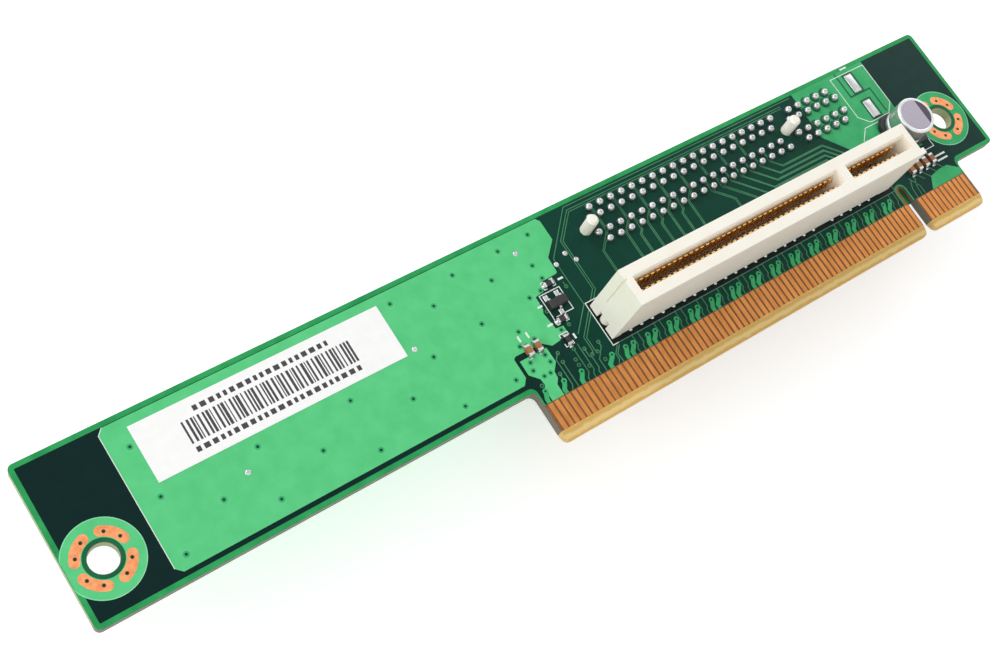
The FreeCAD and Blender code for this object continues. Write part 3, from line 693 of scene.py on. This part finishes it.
def edge_traces():
    """The routes along the left of the slot and the top edge, and those beside the chips."""
    return [
        [(9.9, 15.9), (13.3, 19.2), (13.3, 26.9), (19.3, 33.05), (64.5, 33.05)],
        [(10.0, 12.5), (10.35, 12.9), (10.35, 15.1), (15.85, 20.6), (15.85, 28.75),
         (19.55, 32.45), (62.0, 32.45)],
        [(10.9, 12.5), (10.7, 12.9), (10.7, 14.9), (16.2, 20.4), (16.2, 28.6),
         (19.7, 32.1), (62.0, 32.1)],
        [(4.5, 9.5), (4.9, 10.2), (4.9, 14.2), (5.65, 14.9)],
        [(5.55, 9.5), (5.55, 13.5)],
        [(7.5, 9.5), (7.5, 9.95), (8.05, 10.6), (8.05, 14.3)],
        [(8.55, 9.5), (8.55, 10.1), (8.95, 10.6), (8.95, 14.8)],
        [(9.45, 9.5), (9.45, 10.1), (9.75, 10.5), (9.75, 12.1), (9.45, 12.5), (9.45, 13.7)],
        [(10.5, 9.5), (10.5, 11.4), (11.85, 12.9), (11.85, 13.6)],
        [(12.6, 9.5), (13.1, 10.1), (13.1, 11.0), (14.1, 12.0)],
        [(13.5, 9.5), (13.4, 10.9), (14.4, 11.9)],
        [(9.55, 18.3), (9.55, 17.7)], [(12.5, 23.4), (12.55, 22.6)],
        [(4.1, 10.95), (4.2, 12.25)], [(75.3, 9.6), (75.3, 11.0), (74.2, 12.9)],
        [(77.0, 11.6), (75.9, 12.9)], [(79.0, 10.5), (77.2, 12.9)],
        [(80.6, 10.6), (78.8, 13.2)], [(82.6, 10.6), (80.4, 13.2)]]


def finger_tears():
    """The foot of each run of wide copper, and how far it leans to the right as it rises.

    Four stand beside the chips, and from there on two neighbours in each four fingers have one.
    """
    roots = [0.5, 3.5, 6.5, 11.5] + [start + more for start in range(14, 70, 4)
                                     for more in (0.5, 1.5)]
    leans = [0.42, 0.6, 0.65, 1.0] + [0.5, 0.85] * 14
    return roots, leans


def finger_links():
    """Narrow pairs between the wide copper, from finger to slot pin."""
    lines = []
    for start in range(16, 70, 4):
        for more in (0.5, 1.5):
            x = start + more
            lines.append([(x, FINGER_ROW), (x, 10.2), (x + 0.35, 10.6), (x + 0.35, 12.4)])
    for x in (73.5, 74.5):
        lines.append([(x, FINGER_ROW), (x + 0.2, 11.2), (x + 0.9, 12.6)])
    return lines


def traces(side, name, lines):
    """Masked traces on a face."""
    parts = [onto_face(*ribbon(drawn(line), TRACE, BASE, POUR - 0.004), side) for line in lines]
    build("traces_" + name, parts, MASK_TRACE)


def tears(side, name):
    """Wide copper runs between fingers and vias, each ending round."""
    roots, leans = finger_tears()
    parts, tips = [], []
    for root, lean in zip(roots, leans):
        tip = (root + lean, VIA_ROW)
        path = [(root, FINGER_ROW + 0.02), (root, 10.1), (root + lean * 0.8, 10.8), tip]
        parts.append(onto_face(*ribbon(drawn(path), WIDE_COPPER, PLANE, POUR), side))
        tips.append(tip)
    cap = [(0, PLANE), (0.42, PLANE), (0.42, POUR + 0.003), (0, POUR + 0.003)]
    parts.append(onto_face(*turned(cap, 16, drawn(tips)), side))
    build("wide_copper_" + name, parts, MASK_TEAR)
    drilled = [(0, POUR), (0.17, POUR), (0.17, POUR + 0.008), (0, POUR + 0.005)]
    turned_piece("wide_copper_vias_" + name, drilled, 12, drawn(tips), side, MASK_VIA)


POUR_VIAS = [
    (-49.8, 29.6), (-49.6, 22.4), (-50.4, 14.8), (-43.3, 18.5), (-36.4, 22.4), (-37.2, 15.2),
    (-29.5, 18.1), (-23.0, 22.2), (-23.0, 14.7), (-15.6, 18.6), (-10.0, 22.3), (-10.0, 14.5),
    (-11.2, 31.4), (-1.2, 31.2), (6.6, 31.4), (12.0, 31.7), (3.35, 28.1), (9.9, 27.4),
    (-6.0, 28.5), (-1.5, 23.3), (6.75, 23.5), (8.8, 23.7), (10.1, 25.2), (2.45, 20.0),
    (-1.8, 14.35), (8.1, 17.5)]
NECK_VIAS = [(1.1, 14.35), (4.0, 14.35), (2.05, 13.0), (3.1, 13.0), (1.4, 18.1), (3.9, 18.1),
             (1.4, 15.5), (3.9, 15.5)]
RING_VIAS = [
    (5.65, 14.9), (5.55, 13.5), (7.4, 12.95), (7.35, 12.1), (8.65, 11.3), (9.45, 13.7),
    (9.55, 17.7), (10.0, 12.5), (10.9, 12.5), (11.25, 11.05), (11.85, 13.6), (12.55, 22.6),
    (4.2, 12.25), (8.05, 14.35), (0.95, 12.0), (7.8, 20.7)]
TINNED_DOTS = [(8.75, 30.0), (-39.05, 20.1), (-11.7, 24.4), (13.2, 26.0), (15.35, 26.9),
               (16.35, 25.4)]


def vias(side, name, sunk, ringed, dots):
    """Plated through holes: sunk in the pour, ringed on the dark field, or tinned test dots."""
    under = POUR - 0.002
    dish = [(0, under), (0.2, under), (0.2, POUR + 0.004), (0, POUR + 0.001)]
    turned_piece("sunk_vias_" + name, dish, 12, drawn(sunk), side, MASK_VIA)
    shoulder = [(0, under), (0.42, under), (0.42, POUR + 0.001), (0, POUR + 0.001)]
    turned_piece("via_shoulders_" + name, shoulder, 16, drawn(sunk), side, MASK_TEAR)
    rings = washers(0.17, 0.3, PLANE, POUR + 0.01, 16, drawn(ringed))
    build("ringed_vias_" + name, [onto_face(*rings, side)], MASK_TRACE)
    dome = [(0, PLANE), (0.4, PLANE), (0.38, POUR + 0.02), (0.22, POUR + 0.07), (0, POUR + 0.09)]
    turned_piece("tinned_dots_" + name, dome, 16, drawn(dots), side, SOLDER, True)


def clearances():
    """Bare gaps in the right field: round each soldered pin and about the empty pads.

    The strips cross, so each stands a little higher than the last.
    """
    pins = pin_spots("rear")
    inside = pins[pins[:, 0] > drawn((65.6, 0))[0]]
    low, width = POUR - 0.01, 0.3
    parts = [onto_face(*washers(0.6, 0.86, low, POUR + 0.004, 24, inside), FRONT)]
    gaps = [[(74.8, 33.3), (74.8, 28.75), (79.1, 28.75), (79.1, 24.2)],
            box_path(75.9, 28.9, 77.9, 32.6), box_path(75.9, 23.9, 77.9, 27.4)]
    for gap, rise in zip(gaps, (0.003, 0.0045, 0.006)):
        parts.append(onto_face(*ribbon(drawn(gap), width, low, POUR + rise), FRONT))
    build("pour_gaps", parts, MASK_GAP)


# A bare pad's middle line and half width, in radii, and half its angle about the hole.
PAD_MIDDLE, PAD_HALF, PAD_REACH = 3.27, 0.67, 26
PAD_ANGLES = (45, 135, 225, 315)
# Each pad has two drillings, on this radius and this far round from its middle.
DRILLED_AT, DRILLED_TURN = 3.2, 18


def about(x, z, radius, angle):
    """The point at a radius and an angle in degrees about a hole."""
    return x + radius * math.cos(math.radians(angle)), z + radius * math.sin(math.radians(angle))


def bare_pad(x, z, angle):
    """An arc of bare copper about a hole with a half circle at each end."""
    near, far = PAD_MIDDLE - PAD_HALF, PAD_MIDDLE + PAD_HALF
    start, end = angle - PAD_REACH, angle + PAD_REACH
    return np.concatenate([
        arc(x, z, far, start, end, 14),
        arc(*about(x, z, PAD_MIDDLE, end), PAD_HALF, end, end + 180, 10)[1:-1],
        arc(x, z, near, end, start, 10),
        arc(*about(x, z, PAD_MIDDLE, start), PAD_HALF, start + 180, start + 360, 10)[1:-1]])


def bare_pads(side, name):
    """Four bare pads about each mounting hole."""
    sheet_piece("bare_pads_" + name,
                [bare_pad(x, z, angle) for x, z in HOLES for angle in PAD_ANGLES],
                PLANE, COPPER, side, COPPER_BARE, ("mounting_pads_" + name,))


def pad_vias(side, name):
    """Two small drilled holes in each bare pad about a mounting hole."""
    spots = [about(x, z, DRILLED_AT, angle + turn) for x, z in HOLES for angle in PAD_ANGLES
             for turn in (-DRILLED_TURN, DRILLED_TURN)]
    hole, rim = 0.24, 0.34
    disc = [(0, COPPER), (hole, COPPER), (hole, COPPER + 0.002), (0, COPPER + 0.002)]
    turned_piece("pad_drillings_" + name, disc, 14, spots, side, MASK_VIA)
    rims = washers(hole, rim, COPPER - 0.01, COPPER + 0.012, 14, spots)
    build("pad_drilling_rims_" + name, [onto_face(*rims, side)], COPPER_BARE)


# ------------------------------------------------------------------ legend

LEGEND_LINE, NAME_BAR, SLOT_LINE_WIDTH, BRACKET_ARM = 0.13, 0.3, 0.1, 0.5


def box_path(left, low, right, high):
    """A closed rectangle as a path."""
    return [(left, low), (right, low), (right, high), (left, high), (left, low)]


def bracket(x, z, wide, tall):
    """A short bracket about each end of a chip, along its longer side."""
    lines = []
    for side in (-1, 1):
        if tall > wide:
            end = z + side * tall / 2
            inner = end - side * BRACKET_ARM
            lines.append([(x - wide / 2, inner), (x - wide / 2, end), (x + wide / 2, end),
                          (x + wide / 2, inner)])
        else:
            end = x + side * wide / 2
            inner = end - side * BRACKET_ARM
            lines.append([(inner, z - tall / 2), (end, z - tall / 2), (end, z + tall / 2),
                          (inner, z + tall / 2)])
    return lines


def printed(name, lines, width, ink, side=FRONT):
    """Screen printed lines of one width."""
    build(name, [onto_face(*ribbon(drawn(line), width, POUR - 0.01, LEGEND), side)
                 for line in lines], ink)


def legend():
    """White outlines about the parts; the places of their names hold short plain bars."""
    outlines = [[(16.5, 19.2), (13.5, 19.2), (13.5, 12.2), (14.5, 12.2)],
                box_path(8.1, 19.4, 11.55, 23.05),
                [(75.0, 23.7), (73.4, 25.3), (73.4, 32.75), (80.8, 32.75), (80.8, 25.3),
                 (79.2, 23.7), (75.0, 23.7)],
                [(71.5, 21.4), (73.3, 23.2), (82.6, 23.2), (82.6, 15.6), (75.0, 15.6)],
                [(2.78, 16.3), (2.78, 17.6)]]
    for chip in ((8.0, 16.0, 1.35, 1.9), (9.05, 18.85, 1.95, 1.1), (10.35, 24.05, 1.95, 1.1)):
        outlines += bracket(*chip)
    printed("white_legend_front", outlines, LEGEND_LINE, INK)
    bars = [[(1.9, 18.6), (1.9, 19.5)], [(3.3, 18.6), (3.3, 19.5)], [(6.6, 18.8), (7.5, 18.8)],
            [(6.9, 21.7), (7.7, 21.7)], [(12.0, 24.0), (12.9, 24.0)], [(9.3, 15.5), (9.3, 16.3)],
            [(81.3, 13.9), (83.6, 13.9)], [(81.3, 13.1), (83.6, 13.1)],
            [(76.3, 33.6), (77.7, 33.6)]]
    printed("name_bars", bars, NAME_BAR, INK)
    printed("slot_line", [[(14.5, 12.2), (70.5, 12.2), (70.5, 14.0)]], SLOT_LINE_WIDTH, INK_GREY_GREEN)
    printed("white_legend_back", [box_path(18.8, 25.0, 76.0, 32.2)], LEGEND_LINE, INK, BACK)
    # A near-black sheet under the slot moulding: the dark mask there plus a painted shadow of the
    # moulding.
    shade = drawn(box_path(13.6, 12.3, 70.4, 19.1)[:4])
    sheet_piece("mask_under_slot", [shade], POUR - 0.01, POUR + 0.001, FRONT, MASK_UNDER_SLOT_WITH_SHADOW)


# Print on the label, from its lower left corner: where the bars start and stop along it, their
# foot and head, and each row of dashes with its start and stop.
BARS_FROM, BARS_TO, BARS_FOOT, BARS_HEAD = 5.8, 30.2, 2.4, 5.5
DASH_ROWS = ((1.5, 5.9, 30.0), (6.45, 8.0, 27.0))
DASH_TALL, DASH_GAP = 0.72, 0.42


def label_print():
    """Plain print on the label: bars whose widths follow a wave, and rows of short dashes.

    The bars mean nothing.  Bar k is 0.12 + 0.3 * (0.5 + 0.5 * sin(2.4 k) * cos(0.9 k)) wide,
    with 0.14 + 0.26 * (0.5 + 0.5 * cos(1.7 k)) after it.  Dash k is 0.62 + 0.18 * sin(1.3 k)
    long.
    """
    low = corners("paper_label")[0]
    face = -low[1] - FACE
    strips = []
    x, step = BARS_FROM, 0
    while x < BARS_TO:
        width = 0.12 + 0.3 * (0.5 + 0.5 * math.sin(2.4 * step) * math.cos(0.9 * step))
        middle = x + width / 2
        strips.append(([(middle, BARS_FOOT), (middle, BARS_HEAD)], width))
        x += width + 0.14 + 0.26 * (0.5 + 0.5 * math.cos(1.7 * step))
        step += 1
    for row, start, end in DASH_ROWS:
        x, step = start, 0
        while x < end:
            long = 0.62 + 0.18 * math.sin(1.3 * step)
            strips.append(([(x, row), (x + long, row)], DASH_TALL))
            x += long + DASH_GAP
            step += 1
    parts = [onto_face(*ribbon(np.array(path) + low[[0, 2]], width, face - 0.002, face + 0.006),
                       FRONT) for path, width in strips]
    build("label_print", parts, LABEL_INK)


# ------------------------------------------------------------------ solder joints and slots


def pin_spots(end):
    """The place of every contact tail of a slot: inner and outer rows take turns."""
    slot = SLOTS[end]
    turn = np.round(CONTACT_STEPS - 1.5).astype(int) % 2 == 0
    away = np.where(turn, INNER_ROW, OUTER_ROW)
    x = np.concatenate([slot["key"] + CONTACT_STEPS] * 2)
    z = np.concatenate([slot["row"] + away, slot["row"] - away])
    return np.stack([x, z], axis=1)


def solder_joints(end):
    """Wave soldered joints: a full dome on each land, with the cut tail standing out of it.

    Over s from 0 at the land to 1 at the tail, radius = 0.62 - 0.46 * s**2.4 and
    height = 0.05 + 0.8 * sin(s * 90 degrees)**1.3.  The domes lie on the face away from the
    slot, and low ones with a little solder on the slot's own face.
    """
    near, spots = SLOTS[end]["side"], pin_spots(end)
    s = np.linspace(0, 1, 7)
    radius = 0.62 - 0.46 * s ** 2.4
    height = 0.05 + 0.8 * np.sin(s * np.pi / 2) ** 1.3
    dome = [(0, 0.0), (radius[0], 0.0), *zip(radius, height), (0, 0.87)]
    turned_piece(end + "_solder_fillets", dome, 14, spots, -near, SOLDER, True,
                 (end + "_slot_joints",))
    tail = [(0, 0.8), (0.17, 0.8), (0.16, 1.05), (0.1, 1.1), (0, 1.1)]
    turned_piece(end + "_tail_ends", tail, 8, spots, -near, TIN)
    land = [(0, BASE), (0.34, BASE), (0.28, POUR + 0.05), (0, POUR + 0.1)]
    turned_piece(end + "_near_lands", land, 12, spots, near, SOLDER, True)


# A spring's root lies this far above the board and its tip this far below the slot's mouth.
SPRING_ROOT, SPRING_TIP = 3.4, 1.7
SPRING_HALF_WIDE, SPRING_HALF_THICK = 0.28, 0.08


def contact_springs(end):
    """Sprung contacts: strips that lean in from the cavity's walls to a crown and turn back.

    Over t from 0 at the root to 1 at the tip the level rises evenly, and the distance from the
    slot's middle is 1.22 - 0.75 * sin(135 degrees * t**2).
    """
    slot = SLOTS[end]
    t = np.linspace(0, 1, 10)
    level = SPRING_ROOT + t * (slot["reach"] - SPRING_TIP - SPRING_ROOT)
    away = 1.22 - 0.75 * np.sin(0.75 * np.pi * t ** 2)
    away = np.concatenate([away - SPRING_HALF_THICK, (away + SPRING_HALF_THICK)[::-1]])
    level = np.concatenate([level, level[::-1]])
    parts = []
    for x in slot["key"] + CONTACT_STEPS:
        for hand in (-1, 1):
            sides = [np.stack([np.full(len(away), x + across), slot["row"] + hand * away, level],
                              axis=1) for across in (-SPRING_HALF_WIDE, SPRING_HALF_WIDE)]
            points, faces = tube(np.array(sides))
            parts.append(onto_face(points, [loop[::-hand] for loop in faces], slot["side"]))
    build(end + "_contact_springs", parts, SPRING, False,
          (end + "_slot_contacts",))


# A rib runs from near to far of the slot's middle, from a foot above the board to a top below
# the mouth.
RIB_NEAR, RIB_FAR, RIB_WIDTH, RIB_FOOT, RIB_TOP = 1.06, 1.38, 0.34, 2.5, 3.25


def cavity_ribs(end):
    """Thin walls between the contacts, inside both faces of the cavity, with none at the key."""
    slot = SLOTS[end]
    between = CONTACT_STEPS[:-1] + 0.5
    parts = []
    for x in slot["key"] + between[np.abs(between) > 1.2]:
        for hand in (-1, 1):
            path = [(x, slot["row"] + hand * RIB_NEAR), (x, slot["row"] + hand * RIB_FAR)]
            rib = ribbon(path, RIB_WIDTH, RIB_FOOT, slot["reach"] - RIB_TOP)
            parts.append(onto_face(*rib, slot["side"]))
    build(end + "_cavity_ribs", parts, IVORY)


# ------------------------------------------------------------------ capacitor and small parts

# The can's rolled edge, the depth, level and half height of its groove, and its dished top.
CAN_ROLL, CAN_GROOVE, CAN_GROOVE_LEVEL, CAN_GROOVE_HALF = 0.3, 0.22, 1.1, 0.32
CAN_DISH, CAN_PRINT_INSET = 0.05, 0.54
# The capacitor's pads: how far each lies from its middle, and their length and width.
CAN_PAD_AWAY, CAN_PAD_LONG, CAN_PAD_WIDE = 2.55, 3.4, 1.6
SPARE_X, SPARE_Z = RIGHT - 16.4, TOP - 5.9


def capacitor():
    """The drawn can with rolled edges, its printed top, its foot, and an empty place like it.

    Over w from -1 to 1 up the groove, the wall is drawn in by 0.22 * cos(90 degrees * w)**2.
    """
    low, high = corners("capacitor_can")
    x, z = (low[0] + high[0]) / 2, (low[2] + high[2]) / 2
    radius, top, foot = (high[0] - low[0]) / 2, -low[1] - FACE, -high[1] - FACE
    rolled = arc(radius - CAN_ROLL, top - CAN_ROLL, CAN_ROLL, 0, 90, 5)
    w = np.linspace(-1, 1, 7)
    groove = zip(radius - CAN_GROOVE * np.cos(w * np.pi / 2) ** 2,
                 foot + CAN_GROOVE_LEVEL + CAN_GROOVE_HALF * w)
    dish = top - CAN_DISH
    wall = [(0, foot), (radius - 0.12, foot), (radius, foot + 0.12), *groove, *rolled,
            (radius - 0.42, top), (radius - 0.5, dish), (0, dish)]
    turned_piece("can_shell", wall, 72, [(x, z)], FRONT, CAN, True,
                 ("capacitor_can",))
    inner = radius - CAN_PRINT_INSET
    sheet_piece("can_top_print", [circle(x, z, inner, 64)], dish, dish + 0.01, FRONT, CAN_INK)
    sheet_piece("can_top_mark", [arc(x, z, inner, -58, 58, 24)], dish + 0.01, dish + 0.016,
                FRONT, CAN_MARK)
    softened("can_base", "can_foot", 0.12, BLACK)
    dress("can_terminals", TIN)
    pads = [dome_pad(x + hand * CAN_PAD_AWAY, z, CAN_PAD_LONG, CAN_PAD_WIDE, 0.12)
            for hand in (-1, 1)]
    pads += [dome_pad(SPARE_X, SPARE_Z + hand * CAN_PAD_AWAY, CAN_PAD_WIDE, CAN_PAD_LONG, 0.16)
             for hand in (-1, 1)]
    build("capacitor_pad_solder", [onto_face(*pad, FRONT) for pad in pads], SOLDER,
          True, ("capacitor_pads",))


def dome_pad(x, z, wide, tall, rise, cells=10):
    """Reflowed solder on a pad: height = 0.04 + rise * (1 - u**4) * (1 - v**4).

    u and v run from -1 to 1 across the pad; the grid is closed underneath.
    """
    across = np.linspace(-1, 1, cells + 1)
    u, v = np.meshgrid(across, across, indexing="ij")
    height = 0.04 + rise * (1 - u ** 4) * (1 - v ** 4)
    top = np.stack([x + u * wide / 2, z + v * tall / 2, height], axis=-1).reshape(-1, 3)
    under = top * (1, 1, 0)
    index = np.arange(len(top)).reshape(cells + 1, cells + 1)
    upper = np.stack([index[:-1, :-1], index[1:, :-1], index[1:, 1:], index[:-1, 1:]],
                     -1).reshape(-1, 4)
    rim = np.concatenate([index[:-1, 0], index[-1, :-1], index[:0:-1, -1], index[0, :0:-1]])
    follow = np.roll(rim, -1)
    wall = np.stack([follow, rim, rim + len(top), follow + len(top)], 1)
    faces = np.concatenate([upper, upper[:, ::-1] + len(top), wall])
    return np.vstack([top, under]), faces.tolist()


def wedge_fillet(x, z, wide, out, rise, direction):
    """Solder at the end of a chip: a concave ramp from its cap down to the pad.

    Over u from 0 at the cap to 1 at the pad's end, height = 0.03 + rise * (1 - u)**2.2, and
    the width falls by 15 %.
    """
    u = np.linspace(0, 1, 6)
    height = 0.03 + rise * (1 - u) ** 2.2
    across = np.array([-direction[1], direction[0]])
    middle = (x, z) + np.outer(u * out, direction)
    half = (wide / 2 * (1 - 0.15 * u))[:, None] * across
    left = np.column_stack([middle - half, height])
    right = np.column_stack([middle + half, height])
    return tube(np.stack([right, left, left * (1, 1, 0), right * (1, 1, 0)], axis=1))


CHIPS = [(f"resistor_{count}", GLAZE, "resistor_body") for count in ("one", "two", "three")]
CHIPS += [(f"capacitor_{count}", CERAMIC, "capacitor_ceramic")
          for count in ("one", "two", "three", "four", "five", "six")]
CHIP_SOLDER = 0.42


def chips():
    """Every chip part: softened body and caps, and a solder fillet at each end."""
    fillets = []
    for name, material, slot in CHIPS:
        softened(name + "_body", name + "_glazed", 0.04, material)
        softened(name + "_ends", name + "_caps", 0.07, TIN)
        low, high = corners(name + "_ends")
        x, z = (low[0] + high[0]) / 2, (low[2] + high[2]) / 2
        wide, tall = high[0] - low[0], high[2] - low[2]
        along_x, along_z = (0, 1) if tall > wide else (1, 0)
        rise = (-low[1] - FACE) * 0.8
        for sign in (-1, 1):
            way = (sign * along_x, sign * along_z)
            start = (x + way[0] * wide / 2, z + way[1] * tall / 2)
            fillets.append(onto_face(*wedge_fillet(*start, min(wide, tall), CHIP_SOLDER, rise,
                                                   way), FRONT))
    build("chip_solder", fillets, SOLDER, True)


def transistor():
    """The three-legged package: softened body, legs and the solder on its pads."""
    softened("transistor_body", "transistor_package", 0.07, BLACK)
    softened("transistor_leads", "transistor_legs", 0.03, TIN)
    low, high = corners("transistor_body")
    x, z = (low[0] + high[0]) / 2, (low[2] + high[2]) / 2
    away, apart = (high[2] - low[2]) / 2 + 0.62, 0.95
    wide, tall, rise = 0.75, 0.95, 0.1
    pads = [dome_pad(*spot, wide, tall, rise)
            for spot in ((x - apart, z + away), (x + apart, z + away), (x, z - away))]
    build("transistor_pads", [onto_face(*pad, FRONT) for pad in pads], SOLDER, True)


# ------------------------------------------------------------------ put the card together

dress("circuit_board", LAMINATE)
dress("paper_label", PAPER)
for face_side, face_name in ((FRONT, "front"), (BACK, "back")):
    dress("edge_fingers_" + face_name, GOLD)
    mask_and_plane(face_side, face_name)
    hole_lands(face_side, face_name)
    bare_pads(face_side, face_name)
    pad_vias(face_side, face_name)
    tears(face_side, face_name)
pours()
traces(FRONT, "front", fan_traces() + edge_traces() + finger_links())
traces(BACK, "back", finger_links())
clearances()
vias(FRONT, "front", POUR_VIAS + NECK_VIAS, RING_VIAS, TINNED_DOTS)
# The back has the same drillings, but for those outside its pour.
vias(BACK, "back", POUR_VIAS[:17] + POUR_VIAS[18:20], RING_VIAS[:6], TINNED_DOTS[:2])
legend()
label_print()
for slot_end in SLOTS:
    softened(slot_end + "_slot_housing", slot_end + "_slot_moulding", 0.12, IVORY)
    solder_joints(slot_end)
    contact_springs(slot_end)
    cavity_ribs(slot_end)
capacitor()
chips()
transistor()

# ------------------------------------------------------------------ stage and light


def seen_rays(tree):
    """One for the rays that show the surround: to the eye, in reflections and through glass."""
    path = add(tree, "LightPath")
    seen = add(tree, "Math", links={0: path.outputs["Is Camera Ray"],
                                    1: path.outputs["Is Transmission Ray"]},
               operation="MAXIMUM").outputs[0]
    return add(tree, "Math", links={0: seen, 1: path.outputs["Is Glossy Ray"]},
               operation="MAXIMUM").outputs[0]


def stage_sheet(name, places, glow):
    """A pale sheet seen only from its front: the eye and the light pass through its back.

    Its own glow rises to full white far from the card, so it has no edge to be seen.
    """
    material = bpy.data.materials.new("pale_" + name)
    material.use_nodes = True
    tree = material.node_tree
    tree.nodes.clear()
    matt = add(tree, "BsdfDiffuse", {"Color": colour("#F6F6F6")})
    place = add(tree, "TexCoord").outputs["Object"]
    away = add(tree, "VectorMath", links={0: place}, operation="LENGTH").outputs["Value"]
    strength = add(tree, "MapRange", {"From Min": 0.25, "From Max": 0.6,
                                      "To Min": glow, "To Max": 1.0}, {"Value": away})
    lit = add(tree, "Emission", {"Color": (1, 1, 1, 1)}, {"Strength": strength.outputs["Result"]})
    sheet = add(tree, "AddShader", links={0: matt.outputs[0], 1: lit.outputs[0]}).outputs[0]
    clear = add(tree, "BsdfTransparent")
    under = add(tree, "NewGeometry").outputs["Backfacing"]
    unseen = add(tree, "Math", {0: 1.0}, {1: seen_rays(tree)}, operation="SUBTRACT").outputs[0]
    hidden = add(tree, "Math", links={0: under, 1: unseen}, operation="MAXIMUM").outputs[0]
    mix = add(tree, "MixShader", links={0: hidden, 1: sheet, 2: clear.outputs[0]})
    out = add(tree, "OutputMaterial")
    tree.links.new(mix.outputs[0], out.inputs["Surface"])
    mesh = bpy.data.meshes.new(name)
    mesh.from_pydata(places, [], [(0, 1, 2, 3)])
    mesh.materials.append(material)
    piece = bpy.data.objects.new(name, mesh)
    bpy.context.scene.collection.objects.link(piece)


def make_stage():
    """A floor that the card stands on, and a sheet close behind it that takes its shadow."""
    reach, under, behind = 0.7, -0.0001, board_high[1] * MM + 0.0115
    left, right, tall = -0.3, 0.25, 0.15
    stage_sheet("floor", [(-reach, -reach, under), (reach, -reach, under),
                          (reach, reach, under), (-reach, reach, under)], 0.38)
    stage_sheet("backdrop", [(left, behind, -tall), (right, behind, -tall),
                             (right, behind, tall), (left, behind, tall)], 0.42)


def studio_world():
    """A white surround: full white to the eye and in reflections, softer as light."""
    world = bpy.data.worlds.new("studio")
    bpy.context.scene.world = world
    world.use_nodes = True
    tree = world.node_tree
    tree.nodes.clear()
    strength = add(tree, "MapRange", {"To Min": 0.45, "To Max": 1.0}, {"Value": seen_rays(tree)})
    back = add(tree, "Background", {"Color": (1, 1, 1, 1)},
               {"Strength": strength.outputs["Result"]})
    out = add(tree, "OutputWorld")
    tree.links.new(back.outputs[0], out.inputs["Surface"])


def lamp(name, place, aim, width, power):
    """A square soft lamp at a place, pointed at an aim, both in metres."""
    data = bpy.data.lights.new(name, "AREA")
    data.shape, data.size, data.energy = "SQUARE", width, power
    light = bpy.data.objects.new(name, data)
    light.location = place
    light.rotation_mode = "QUATERNION"
    light.rotation_quaternion = (Vector(aim) - Vector(place)).to_track_quat("-Z", "Y")
    bpy.context.scene.collection.objects.link(light)


make_stage()
studio_world()
CENTRE = (-0.02, 0, 0.015)
lamp("key", (-0.2, -0.6, 0.75), CENTRE, 0.4, 3.4)
lamp("fill", (-0.72, -0.22, 0.1), CENTRE, 0.5, 2.4)
lamp("bounce", (-0.1, -0.45, -0.6), CENTRE, 0.5, 1.35)
lamp("side", (0.6, -0.3, 0.35), CENTRE, 0.4, 0.8)
lamp("rear_key", (0.15, 0.85, 0.35), CENTRE, 0.5, 3.0)
bpy.context.scene.view_settings.view_transform = "Standard"
